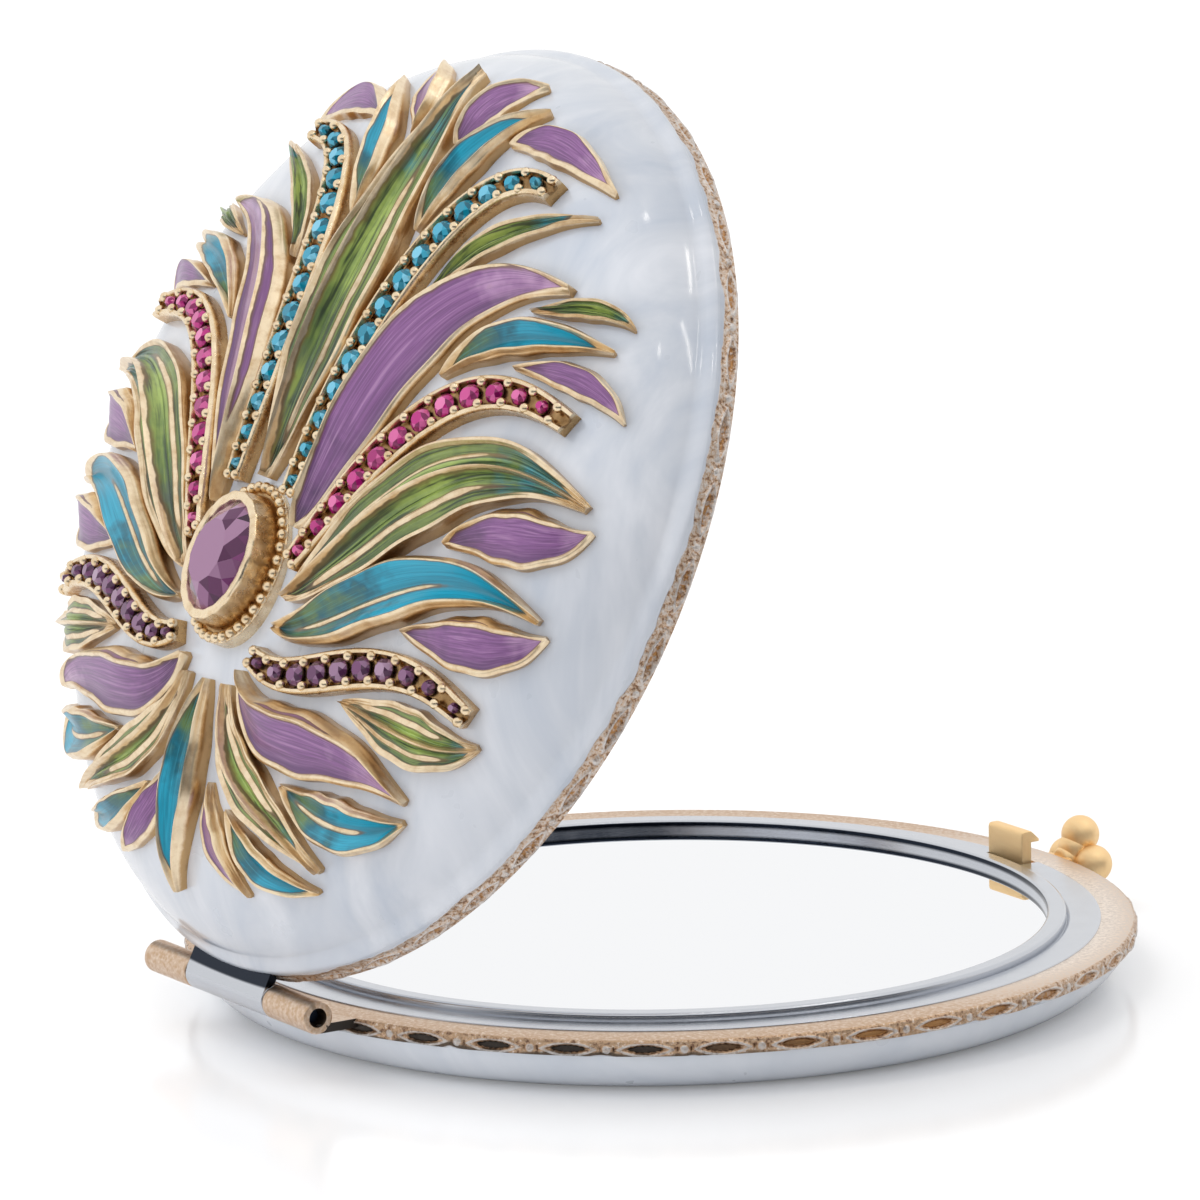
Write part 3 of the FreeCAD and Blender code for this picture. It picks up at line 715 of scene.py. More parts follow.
def ribbon(place, seed):
    """Channel whose rounded walls stand beside a row of crystals."""
    points, width = place
    t = np.linspace(0, 1, 110)
    v = np.linspace(-1, 1, 41)
    half = ribbon_half(t, width)
    inner = 1 - ribbon_wall / half[:, None]
    wall = ramped(np.abs(v), inner - 0.12, inner + 0.04)
    past = (np.abs(v) - ribbon_shoulder) / (1 - ribbon_shoulder)
    shoulder = ribbon_shoulder_drop * np.clip(past, 0, 1) ** 2
    lift = ribbon_floor + (ribbon_height - ribbon_floor) * wall - shoulder
    # The channel floor is darkened between the walls, as patina and painted shade.
    return strip(points, t, half, v, lift, 0.6 * (1 - wall), np.ones_like(lift), seed)


def both_sides(shells):
    """Shells with their mirror twins, without a twin for one that lies on the centre line."""
    return shells + [s.mirrored() for s in shells if s.points[:, 0].min() > 0]


def crystal_places(place, pitch):
    """Shares of the curve at which the crystals of a ribbon stand, at an even pitch on the plan."""
    points = place[0]

    def speed(t):
        return np.linalg.norm(curve(points, np.array([t]))[1])

    places = []
    t = pitch / 2 / speed(0)
    while t < 1 - pitch / 3 / speed(1):
        places.append(t)
        t += pitch / speed(t)
    return np.array(places)


def ball(rings=7, sides=10):
    """Unit ball as rings of latitude."""
    a = np.linspace(0, math.pi, rings)[:, None]
    b = np.linspace(0, 2 * math.pi, sides + 1)
    return skin(np.stack([np.sin(a) * np.cos(b), np.sin(a) * np.sin(b), np.cos(a) + 0 * b], -1))


def brilliant(sides, table, star, girdle, seed, shine):
    """Unit cut stone with a flat table, star and kite facets, a girdle and a sunk back.

    The table ring has one corner between two of the star ring, and the girdle has twice as many. Each facet
    gets a fixed brightness, a painted reflection dark next to light as a foiled stone shows, and the table
    gets shine, a painted reflection too. The seed also makes the stone's painted reflections darker or
    lighter.
    """
    k = np.arange(sides)
    whole = 2 * math.pi * k / sides
    half = whole + math.pi / sides
    fine = 2 * math.pi * np.arange(2 * sides) / (2 * sides)

    def ring(angles, radius, z):
        return np.stack([radius * np.cos(angles), radius * np.sin(angles), np.full(len(angles), z)], 1)

    points = np.concatenate([ring(half, table, 1.0), ring(whole, star[0], star[1]), ring(fine, 1.0, girdle),
                             ring(fine, 0.9, 0.0), [[0, 0, 1.0], [0, 0, 0]]])
    t, c, g, b = k, sides + k, 2 * sides, 4 * sides
    following = np.roll(k, -1)
    wide = np.arange(2 * sides)
    after = np.roll(wide, -1)
    top, back = 6 * sides, 6 * sides + 1
    facets = [
        (t, t[following], np.full(sides, top)),
        (t, c[following], t[following]),
        (c, g + 2 * k, g + 2 * k + 1),
        (c, g + (2 * k - 1) % (2 * sides), g + 2 * k),
        (b + after, b + wide, np.full(2 * sides, back)),
    ]
    kites = np.stack([t, c, g + 2 * k + 1, c[following]], 1)
    sunk = np.stack([g + wide, b + wide, b + after, g + after], 1)
    tris = np.concatenate([np.stack(f, 1) for f in facets])
    draw = np.random.default_rng(seed)
    table_light = np.full(sides, shine)
    star_light = np.where(k % 2, 0.2, 0.85)
    upper = draw.uniform(0.05, 1.0, 2 * sides)
    glow = draw.uniform(0.55, 1.1)
    lights = np.concatenate([table_light, glow * star_light, glow * upper, np.zeros(2 * sides)])
    kite_light = glow * np.where(k % 2, 0.95, 0.3) * draw.uniform(0.7, 1.0, sides)
    quad_light = np.concatenate([kite_light, np.full(2 * sides, 0.1)])
    return Shell(points, tris, np.concatenate([kites, sunk]), {}, (lights, quad_light)).outward()


# Materials

MIX = {"out": 2, "data_type": "RGBA"}
SMOOTH = {"interpolation_type": "SMOOTHSTEP"}
READ = {"out": "Fac"}


def node(tree, kind, feeds=None, out=0, stops=(), **settings):
    """Adds a shader node and returns one of its outputs.

    feeds gives sockets by number. settings gives sockets by name, with a capital and with underscores for
    spaces, and properties. A socket takes a value or another node's output, and stops fill a colour ramp.
    """
    made = tree.nodes.new("ShaderNode" + kind)
    sockets = dict(feeds or {})
    for key, value in settings.items():
        if key[0].isupper():
            sockets[key.replace("_", " ")] = value
        else:
            setattr(made, key, value)
    for key, value in sockets.items():
        if isinstance(value, bpy.types.NodeSocket):
            tree.links.new(value, made.inputs[key])
        else:
            made.inputs[key].default_value = value
    if stops:
        elements = made.color_ramp.elements
        while len(elements) < len(stops):
            elements.new(1.0)
        for element, (position, tone) in zip(elements, stops):
            element.position = position
            element.color = tone
    return made.outputs[out] if made.outputs else None


def finish(name):
    """Turns a function that gives the feeds of a principled shader into one that makes its material once."""

    def keep(feeds):
        made = []

        def material():
            if not made:
                made.append(bpy.data.materials.new(name))
                made[0].use_nodes = True
                tree = made[0].node_tree
                tree.nodes.clear()
                shader = node(tree, "BsdfPrincipled", **feeds(tree, bpy.context.scene.compact_colours))
                node(tree, "OutputMaterial", Surface=shader)
            return made[0]

        return material

    return keep


def per(millimetres):
    """Texture scale at which one cell of a pattern has that size."""
    return 1 / (millimetres * MM)


def grey(value):
    """Opaque grey of a linear value."""
    return value, value, value, 1.0


def tinted(tone, factor, lift=0.0):
    """Opaque colour with its channels multiplied and lifted, up to white."""
    return tuple(min(1.0, factor * c + lift) for c in tone[:3]) + (1.0,)


def pearl_tone(tree, colours, coords):
    """Colour of the pearl enamel: soft swirls about 16 mm long, paler where the lift attribute says so.

    The paler tone is painted light, on the same enamel as the dome.
    """
    drawn = node(tree, "Mapping", Vector=coords, Scale=(1.0, 0.55, 0.4), Rotation=(0.5, 0.2, 0.4))
    swirl = node(tree, "TexNoise", Vector=drawn, Scale=per(7), Detail=4.0, Roughness=0.55, Distortion=1.4)
    tone = node(tree, "ValToRGB", Fac=swirl, stops=[
        (0.3, colours.pearl_shade), (0.5, colours.pearl), (0.7, colours.pearl_light)])
    lift = node(tree, "Attribute", attribute_name="lift", **READ)
    return node(tree, "Mix", {0: lift, 6: tone, 7: colours.pearl_painted_light}, **MIX)


@finish("pearl_enamel_fired")
def pearl_enamel(tree, colours):
    """Pearlescent enamel, brushed on and fired: cool white swirls under a thick clear gloss that waves."""
    coords = node(tree, "TexCoord", out="Object")
    wave = node(tree, "TexNoise", Vector=coords, Scale=per(8), Detail=1.0)
    flow = node(tree, "Bump", Height=wave, Strength=0.35, Distance=0.4 * MM)
    haze = node(tree, "TexNoise", Vector=coords, Scale=per(2.5), Detail=2.0)
    rough = node(tree, "MapRange", Value=haze, To_Min=0.22, To_Max=0.4)
    return {"Base_Color": pearl_tone(tree, colours, coords), "Roughness": rough, "Normal": flow, "IOR": 1.5,
            "Coat_Weight": 1.0, "Coat_Roughness": 0.09, "Coat_Normal": flow}


@finish("antique_gilt_stamped")
def stamped_gilt(tree, colours):
    """Rosy antique gilt, stamped and granulated: dark hollows, pale rubbed outlines, enamel over its edge.

    Attributes say how deep the stamping is, how far past the enamel's edge a point lies, how strong the
    tarnish and the grit are, and how far the pale grains turn to silver, as wear and, on the base rim's
    latch side, a painted highlight. Where the rim is tarnished, a dark seam runs beside the enamel. In the
    hinge bores and on the leaves' cut ends, the dark colour of the hollows is painted shade.
    """
    coords = node(tree, "TexCoord", out="Object")
    depth, past, tarnish, grit, silvered = (
        node(tree, "Attribute", attribute_name=name, **READ)
        for name in ("depth", "past", "tarnish", "grit", "silvered"))
    grain = node(tree, "TexNoise", Vector=coords, Scale=per(0.34), Detail=3.0, Roughness=0.7)
    calm = 0.62
    off = node(tree, "Math", {0: grain, 1: calm}, operation="SUBTRACT")
    speck = node(tree, "Math", {0: off, 1: grit, 2: calm}, operation="MULTIPLY_ADD")
    sand = node(tree, "ValToRGB", Fac=speck, stops=[
        (0.36, colours.rim_shade), (0.48, colours.rim_gilt), (0.56, colours.rim_gilt),
        (0.68, colours.rim_light)])
    hollow = node(tree, "MapRange", Value=depth, From_Min=-0.05, From_Max=-0.14, **SMOOTH)
    dulled = node(tree, "Mix", {0: tarnish, 6: colours.rim_gold, 7: colours.rim_patina_and_painted_shade}, **MIX)
    sunk = node(tree, "Mix", {0: hollow, 6: sand, 7: dulled}, **MIX)
    raised = node(tree, "MapRange", Value=depth, From_Min=0.05, From_Max=0.11, **SMOOTH)
    rubbed = node(tree, "MapRange", Value=grain, From_Min=0.3, From_Max=0.6, To_Min=0.35, To_Max=0.95)
    worn = node(tree, "Math", {0: raised, 1: rubbed}, operation="MULTIPLY")
    # Pale grains turn silver as wear, and on the base rim's latch side as a painted highlight.
    bright = node(tree, "MapRange", Value=grain, From_Min=0.44, From_Max=0.56)
    pale = node(tree, "Math", {0: silvered, 1: bright}, operation="MULTIPLY")
    rosy = node(tree, "Mix", {0: pale, 6: sunk, 7: colours.rim_silver}, **MIX)
    lap = node(tree, "TexNoise", Vector=coords, Scale=per(3), Detail=2.0)
    reach = node(tree, "Math", {0: lap, 1: 1.3, 2: past}, operation="MULTIPLY_ADD")
    seam = node(tree, "ValToRGB", Fac=reach, stops=[
        (0.3, grey(0.0)), (0.46, grey(0.85)), (0.62, grey(0.85)), (0.72, grey(0.0))])
    aged = node(tree, "Math", {0: seam, 1: tarnish}, operation="MULTIPLY")
    lined = node(tree, "Mix", {0: aged, 6: rosy, 7: colours.rim_patina_and_painted_shade}, **MIX)
    metal = node(tree, "Mix", {0: worn, 6: lined, 7: colours.rim_silver}, **MIX)
    mask = node(tree, "MapRange", Value=reach, From_Min=0.6, From_Max=0.7, **SMOOTH)
    coat = node(tree, "Mix", {0: mask, 6: metal, 7: pearl_tone(tree, colours, coords)}, **MIX)
    bare = node(tree, "Math", {0: 1.0, 1: mask}, operation="SUBTRACT")
    rough = node(tree, "MapRange", Value=bare, To_Min=0.22, To_Max=0.4)
    pitted = node(tree, "Math", {0: speck, 1: bare}, operation="MULTIPLY")
    bumped = node(tree, "Bump", Height=pitted, Strength=0.8, Distance=0.14 * MM)
    return {"Base_Color": coat, "Metallic": bare, "Roughness": rough, "Normal": bumped}


def patina_tone(tree, colours, coords):
    """Colour of cast gilt: brown where the depth attribute and a stain say so, bright where it is rubbed.

    The brown is patina with painted shade in the hollows and at the foot, and the bright crests are rubbed
    wear with a painted highlight.
    """
    depth = node(tree, "Attribute", attribute_name="depth", **READ)
    stain = node(tree, "TexNoise", Vector=coords, Scale=per(1.1), Detail=4.0, Roughness=0.65)
    level = node(tree, "Math", {0: stain, 1: 0.55, 2: 0.54}, operation="MULTIPLY_ADD")
    worn = node(tree, "Math", {0: level, 1: depth}, operation="SUBTRACT")
    return node(tree, "ValToRGB", Fac=worn, stops=[
        (0.05, colours.gilt_patina_and_painted_shade), (0.42, colours.gilt), (0.6, colours.gilt), (0.85, colours.gilt_rubbed_and_painted_highlight)])


@finish("antique_gilt_cast")
def cast_gilt(tree, colours):
    """Cast brass, gilt and antiqued: soft hand-worked surface, bright rubbed edges and brown hollows.

    The bright edges carry a painted highlight, and the brown hollows carry painted shade as well as patina.
    """
    coords = node(tree, "TexCoord", out="Object")
    hand = node(tree, "TexNoise", Vector=coords, Scale=per(0.6), Detail=2.0)
    rough = node(tree, "MapRange", Value=hand, To_Min=0.18, To_Max=0.38)
    worked = node(tree, "Bump", Height=hand, Strength=0.5, Distance=0.1 * MM)
    return {"Base_Color": patina_tone(tree, colours, coords), "Metallic": 1.0, "Roughness": rough,
            "Normal": worked}


@finish("satin_gilt_brushed")
def satin_gilt(tree, colours):
    """Brass, gilt and brushed to a satin: even warm gold with fine lines about 0.15 mm apart."""
    coords = node(tree, "TexCoord", out="Object")
    drawn = node(tree, "Mapping", Vector=coords, Scale=(0.15, 1.0, 1.0))
    lines = node(tree, "TexNoise", Vector=drawn, Scale=per(0.3), Detail=2.0)
    rough = node(tree, "MapRange", Value=lines, To_Min=0.42, To_Max=0.62)
    brushed = node(tree, "Bump", Height=lines, Strength=0.3, Distance=0.05 * MM)
    return {"Base_Color": colours.satin, "Metallic": 1.0, "Roughness": rough, "Normal": brushed}


@finish("polished_steel_spun")
def polished_steel(tree, colours):
    """Spun steel, polished: bright with a soft bloom, and dark with painted shade where shade is about 0.7.
    """
    coords = node(tree, "TexCoord", out="Object")
    shade = node(tree, "Attribute", attribute_name="shade", **READ)
    band = node(tree, "ValToRGB", Fac=shade, stops=[
        (0.3, grey(0.0)), (0.55, grey(1.0)), (0.85, grey(1.0)), (0.96, grey(0.0))])
    tone = node(tree, "Mix", {0: band, 6: colours.steel, 7: colours.gap}, **MIX)
    bloom = node(tree, "TexNoise", Vector=coords, Scale=per(1.5), Detail=4.0)
    rough = node(tree, "MapRange", Value=bloom, To_Min=0.15, To_Max=0.3)
    return {"Base_Color": tone, "Metallic": 1.0, "Roughness": rough}


@finish("blued_steel_drawn")
def blued_steel(tree, colours):
    """Drawn steel wire, blued: nearly black with a soft shine."""
    return {"Base_Color": colours.gap, "Metallic": 1.0, "Roughness": 0.4}


@finish("mirror_glass_silvered")
def mirror_glass(tree, colours):
    """Silvered float glass: a clean mirror with the faintest haze of handling."""
    coords = node(tree, "TexCoord", out="Object")
    haze = node(tree, "TexNoise", Vector=coords, Scale=per(9), Detail=5.0)
    rough = node(tree, "MapRange", Value=haze, From_Min=0.45, From_Max=0.8, To_Min=0.0, To_Max=0.05)
    return {"Base_Color": colours.silvering, "Metallic": 1.0, "Roughness": rough}


def leaf_enamel(tree, colours, run, dark, light, streaks):
    """Painted enamel between gilt rolls: tones run from root to tip, with brush lines and a brown seam.

    The low parts of the section are darkened as painted shade, and the brown seam is painted shadow.

    streaks is how strongly the brush lines show. A line is about 8 mm long and 0.2 mm wide on a broad leaf.
    """
    coords = node(tree, "TexCoord", out="Object")
    across, along, seed, depth, gilt = (
        node(tree, "Attribute", attribute_name=name, **READ)
        for name in ("across", "along", "seed", "depth", "gilt"))
    hand = node(tree, "TexNoise", Vector=coords, Scale=per(1.6), Detail=2.0)
    ragged = node(tree, "Math", {0: hand, 1: 0.6, 2: gilt}, operation="MULTIPLY_ADD")
    bare = node(tree, "MapRange", Value=ragged, From_Min=0.7, From_Max=0.84, **SMOOTH)
    flow = node(tree, "CombineXYZ", X=along, Y=across, Z=seed)
    drawn = node(tree, "VectorMath", {0: flow, 1: (3.5, 13.0, 7.0)}, operation="MULTIPLY")
    streak = node(tree, "TexNoise", Vector=drawn, Scale=1.0, Detail=3.0, Roughness=0.6, Distortion=0.3)
    mottled = node(tree, "Math", {0: hand, 1: 0.5, 2: along}, operation="MULTIPLY_ADD")
    place = node(tree, "Math", {0: mottled, 1: 0.25}, operation="SUBTRACT")
    body = node(tree, "ValToRGB", Fac=place, stops=run)
    lights = node(tree, "MapRange", Value=streak, From_Min=0.52, From_Max=0.68, To_Max=0.8 * streaks)
    lit = node(tree, "Mix", {0: lights, 6: body, 7: light}, **MIX)
    darks = node(tree, "MapRange", Value=streak, From_Min=0.5, From_Max=0.4, To_Max=0.85 * streaks)
    lined = node(tree, "Mix", {0: darks, 6: lit, 7: dark}, **MIX)
    # sunk darkens the low parts towards the dark colour, as painted shade.
    sunk = node(tree, "MapRange", Value=depth, From_Min=0.0, From_Max=0.2, To_Max=0.68)
    deep = node(tree, "Mix", {0: sunk, 6: lined, 7: dark}, **MIX)
    # The seam is a brown line of painted shadow beside the gilt edge.
    seam = node(tree, "ValToRGB", Fac=ragged, stops=[
        (0.44, grey(0.0)), (0.66, grey(0.75)), (0.76, grey(0.75)), (0.86, grey(0.0))])
    rolled = node(tree, "Mix", {0: bare, 6: deep, 7: patina_tone(tree, colours, coords)}, **MIX)
    mixed = node(tree, "Mix", {0: seam, 6: rolled, 7: colours.gilt_patina_and_painted_shade}, **MIX)
    rough = node(tree, "MapRange", Value=streak, To_Min=0.24, To_Max=0.42)
    brushed = node(tree, "Bump", Height=streak, Strength=0.5 * streaks, Distance=0.12 * MM)
    return {"Base_Color": mixed, "Metallic": bare, "Roughness": rough, "Normal": brushed, "IOR": 1.5,
            "Coat_Weight": 0.3, "Coat_Roughness": 0.15}


@finish("green_enamel_brushed")
def green_enamel(tree, colours):
    """Green enamel, brushed over a gilt leaf: greyed roots, yellow-green lights and a teal tip.

    The grey of the roots is partly a painted milky reflection.
    """
    run = [(0.0, colours.green_dark_and_painted_shade), (0.12, colours.green_root_and_painted_reflection), (0.35, colours.green),
           (0.6, colours.green_light), (0.78, colours.green), (1.0, colours.teal)]
    return leaf_enamel(tree, colours, run, colours.green_dark_and_painted_shade, colours.green_light, 1.0)


@finish("teal_enamel_flowed")
def teal_enamel(tree, colours):
    """Teal enamel, flowed into the hollow of a gilt leaf, with a green root."""
    run = [(0.0, colours.green_dark_and_painted_shade), (0.2, colours.green), (0.4, colours.teal_dark_and_painted_shade), (0.55, colours.teal),
           (1.0, colours.teal)]
    return leaf_enamel(tree, colours, run, colours.teal_dark_and_painted_shade, colours.teal_light, 0.4)


@finish("violet_enamel_brushed")
def violet_enamel(tree, colours):
    """Violet enamel, brushed over a keeled gilt leaf, with a silky light on its slope."""
    run = [(0.0, colours.violet_dark_and_painted_shade), (0.3, colours.violet), (0.75, colours.violet),
           (1.0, colours.violet_light)]
    return leaf_enamel(tree, colours, run, colours.violet_dark_and_painted_shade, colours.violet_light, 0.5)


def cut_glass(name, stone):
    """Foiled cut glass in a colour of the settings: each facet has its own brightness under a hard polish.

    The brightness of each facet is a painted reflection.
    """

    @finish(name)
    def glass(tree, colours):
        body = getattr(colours, stone)
        flash = node(tree, "Attribute", attribute_name="flash", **READ)
        tone = node(tree, "ValToRGB", Fac=flash, stops=[
            (0.0, tinted(body, 0.12)), (0.55, tuple(body)), (1.0, tinted(body, 1.2, 0.2))])
        return {"Base_Color": tone, "Metallic": 0.3, "Roughness": 0.08, "IOR": 1.55, "Coat_Weight": 0.3,
                "Coat_Roughness": 0.02}

    return glass


teal_glass = cut_glass("teal_glass_cut", "teal_stone")
magenta_glass = cut_glass("magenta_glass_cut", "magenta_stone")
amethyst_glass = cut_glass("amethyst_glass_cut", "amethyst_stone")
violet_glass = cut_glass("violet_glass_cut", "centre_stone")


@finish("card_pressed")
def pressed_card(tree, colours):
    """Grey card, pressed: matt, with short matted fibres."""
    coords = node(tree, "TexCoord", out="Object")
    fibre = node(tree, "TexNoise", Vector=coords, Scale=per(0.5), Detail=4.0)
    tone = node(tree, "ValToRGB", Fac=fibre, stops=[(0.3, tinted(colours.card, 0.55)), (0.7, colours.card)])
    return {"Base_Color": tone, "Roughness": 0.95}


@finish("white_acrylic")
def acrylic_floor(tree, colours):
    """White acrylic, polished: a soft mirror image and shadow, lifted to white for the eye alone."""
    seen = node(tree, "LightPath", out="Is Camera Ray")
    lift = node(tree, "Math", {0: seen, 1: 0.14}, operation="MULTIPLY")
    return {"Base_Color": colours.floor, "Roughness": 0.16, "IOR": 1.45, "Emission_Color": grey(1.0),
            "Emission_Strength": lift}


# Pieces


class COMPACT_OT_base_case(bpy.types.Operator):
    """Enamelled cup and stamped rim of the base."""

    bl_idname = "compact.base_case"
    bl_label = "Base case"

    def execute(self, context):
        sizes = context.scene.compact_sizes
        corner = ((enamel_radius - foot_radius) ** 2 + rim_low ** 2) / (2 * rim_low)
        rise = math.asin((rim_low - corner) / corner)
        inner = corner - plate_wall
        inner_rise = math.asin((rim_low - corner) / inner)
        down = -math.pi / 2
        cup = rounded([(0, 0, 0), (foot_radius - 0.5, 0, 0)]
                      + arc(foot_radius, corner, corner, down, rise, 24)
                      + arc(foot_radius, corner, inner, inner_rise, down, 16) + [(0, plate_wall, 0)])
        # The base cup is lifted half way to the paler tone, as painted light.
        shell = skin(turned(cup), lift=0.5)
        piece("base_plate_enamel", [shell], pearl_enamel(), "base", ["base_plate"])
        edge = 0.2
        ring = rounded([(case_radius, rim_low, 0.06)] + rim_wall_rows(rim_low + 0.12, base_top - edge, 15)
                       + arc(case_radius - edge, base_top - edge, edge, 0, math.pi / 2, 7)[1:]
                       + [(rebate, base_top, 0), (rebate, rim_low + ledge, 0),
                          (frame_bore, rim_low + ledge, 0), (frame_bore, rim_low, 0)])
        notch = (latch_notch, lambda r, z: np.maximum(r, latch_far))
        rim = stamped_ring(ring, sizes, middle=rim_low + 0.51, enamel_line=rim_low - 0.05,
                           tarnish=(0.15, 1.0), worn=(0.0, 0.4), notch=notch)
        piece("base_rim_stamped", [rim], stamped_gilt(), "base", ["base_frame"])
        return {"FINISHED"}


class COMPACT_OT_lid_case(bpy.types.Operator):
    """Enamelled dome and stamped rim of the lid."""

    bl_idname = "compact.lid_case"
    bl_label = "Lid case"

    def execute(self, context):
        sizes = context.scene.compact_sizes
        rise = lid_seat - shoulder_z
        inside = shoulder_radius - dome_wall
        top = math.pi / 2
        lap_end = math.radians(17.5)
        lap = [(0.01, 0.06), (0.015, 0.1), (-0.01, 0.25), (-0.09, 0.42), (-0.24, 0.62), (-0.44, 0.85)]
        shell = ([(dome_edge, lid_seat, 0)] + [(case_radius + out, lid_seat + up, 0) for out, up in lap]
                 + arc(shoulder_out, shoulder_z, shoulder_radius, lap_end, crown_turn, 36)
                 + arc(0, crown_z, crown_radius, crown_turn, top, 40)[1:]
                 + arc(0, crown_z, crown_radius - dome_wall, top, crown_turn, 16)
                 + arc(shoulder_out, shoulder_z, inside, crown_turn, math.asin(rise / inside), 16)[1:])
        domed = skin(turned(rounded(shell)))
        piece("lid_dome_enamel", [domed], pearl_enamel(), "lid", ["lid_plate"])
        ring = rounded([(case_radius, lid_low, 0.16)] + rim_wall_rows(lid_low + 0.2, lid_rim_top - 0.12, 22)
                       + [(case_radius, lid_rim_top, 0.12), (case_radius - lid_lip, lid_rim_top, 0.1),
                          (case_radius - lid_lip, lid_seat, 0), (frame_bore, lid_seat, 0),
                          (frame_bore, lid_ledge, 0), (case_radius - rim_wall, lid_ledge, 0),
                          (case_radius - rim_wall, lid_low, 0.16)])
        notch = (latch_notch + pocket_room, lambda r, z: np.maximum(r, case_radius - rim_wall - 0.1))
        rim = stamped_ring(ring, sizes, middle=lid_low + 0.62, enamel_line=lid_seat - 0.1,
                           tarnish=(0.1, 0.2), worn=(0.65, 0.65), notch=notch)
        piece("lid_rim_stamped", [rim], stamped_gilt(), "lid", ["lid_frame"])
        return {"FINISHED"}


class COMPACT_OT_mirrors(bpy.types.Operator):
    """Mirror glasses and the polished bezels that hold them."""

    bl_idname = "compact.mirrors"
    bl_label = "Mirrors and bezels"

    def execute(self, context):
        bevel = 0.3
        glass = rounded([(0, mirror_low, 0), (mirror_radius, mirror_low, 0.05),
                         (mirror_radius, mirror_top - bevel, 0.05), (mirror_radius - bevel, mirror_top, 0.08),
                         (0, mirror_top, 0)])
        lower = skin(turned(glass))
        piece("base_mirror_glass", [lower], mirror_glass(), "base", ["base_mirror"])
        ledge_z = rim_low + ledge
        ring = rounded([(lip_inner, mirror_top, 0), (lip_inner, lip_top, 0.3), (lip_outer, lip_top, 0.45),
                        (lip_outer, flange_top - 0.25, 0.08), (lip_outer + 0.25, flange_top, 0.12),
                        (rebate, flange_top, 0.08), (rebate, ledge_z, 0), (skirt_outer, ledge_z, 0),
                        (skirt_outer, plate_wall + 0.3, 0), (skirt_inner, plate_wall + 0.3, 0),
                        (skirt_inner, mirror_top, 0)][::-1], 7)
        notch = (latch_notch, lambda r, z: np.minimum(r, latch_near))
        grid = turned(ring, BEZEL_COLUMNS, notch)
        # A band of painted shade darkens the inner wall of the lip.
        wall = np.hypot(grid[..., 0], grid[..., 1]) < lip_inner + 0.06
        shade = np.where(wall, (grid[..., 2] - mirror_top) / (lip_top - mirror_top), 1.0)
        bezel = skin(grid, shade=shade)
        piece("base_bezel_ring", [bezel], polished_steel(), "base", ["base_bezel"])
        glass = rounded([(0, lid_mirror_low, 0), (mirror_radius - bevel, lid_mirror_low, 0.08),
                         (mirror_radius, lid_mirror_low + bevel, 0.05), (mirror_radius, lid_mirror_top, 0.05),
                         (0, lid_mirror_top, 0)])
        upper = skin(turned(glass))
        piece("lid_mirror_glass", [upper], mirror_glass(), "lid", ["lid_mirror"])
        step = lip_outer + 0.25
        holder = rounded([(lip_inner, lid_lip_low, 0.25), (step, lid_lip_low, 0.1),
                          (step, lid_flange_low, 0.12), (flange_outer, lid_flange_low, 0.12),
                          (flange_outer, lid_ledge, 0), (skirt_outer, lid_ledge, 0),
                          (skirt_outer, lid_pad_top, 0), (skirt_inner, lid_pad_top, 0),
                          (skirt_inner, lid_mirror_low, 0), (lip_inner, lid_mirror_low, 0)], 7)
        room = latch_near - pocket_room
        cut = (latch_notch + pocket_room, lambda r, z: np.where(z < hook_top + 0.25, np.minimum(r, room), r))
        bezel = skin(turned(holder, BEZEL_COLUMNS, cut))
        piece("lid_bezel_ring", [bezel], polished_steel(), "lid", ["lid_bezel"])
        return {"FINISHED"}


def barrel(start, end, bore, seam):
    """Rolled barrel along X: a ring outline carried round the hinge axis, grooved along its seam."""
    mouth = bore + bore_flare
    outline = rounded([(start, barrel_radius, 0.14), (end, barrel_radius, 0.14), (end, mouth, 0.05),
                       (end - bore_throat, bore, 0), (start + bore_throat, bore, 0), (start, mouth, 0.05)])
    angles = np.linspace(0, 2 * math.pi, 73)
    x = outline[:, :1] + 0 * angles
    r = outline[:, 1:] + 0 * angles
    turn = np.abs(np.angle(np.exp(1j * (angles - seam))))
    groove = seam_depth * bump_at(turn, 0, seam_width) * (r > barrel_radius - 0.2)
    # The bore is darkened as painted shade, the seam groove is a dark joint, and the band on top near the lid
    # is patina with painted shade.
    sunk = -0.4 * (r < mouth - 0.02) - 2 * groove - 0.1 * bump_at(angles, 1.15, 0.42)
    r = r - groove
    grid = np.stack([x, hinge_y + r * np.cos(angles), hinge_z + r * np.sin(angles)], -1)
    return skin(grid, depth=sunk, past=-1.0, grit=0.25, tarnish=0.9)


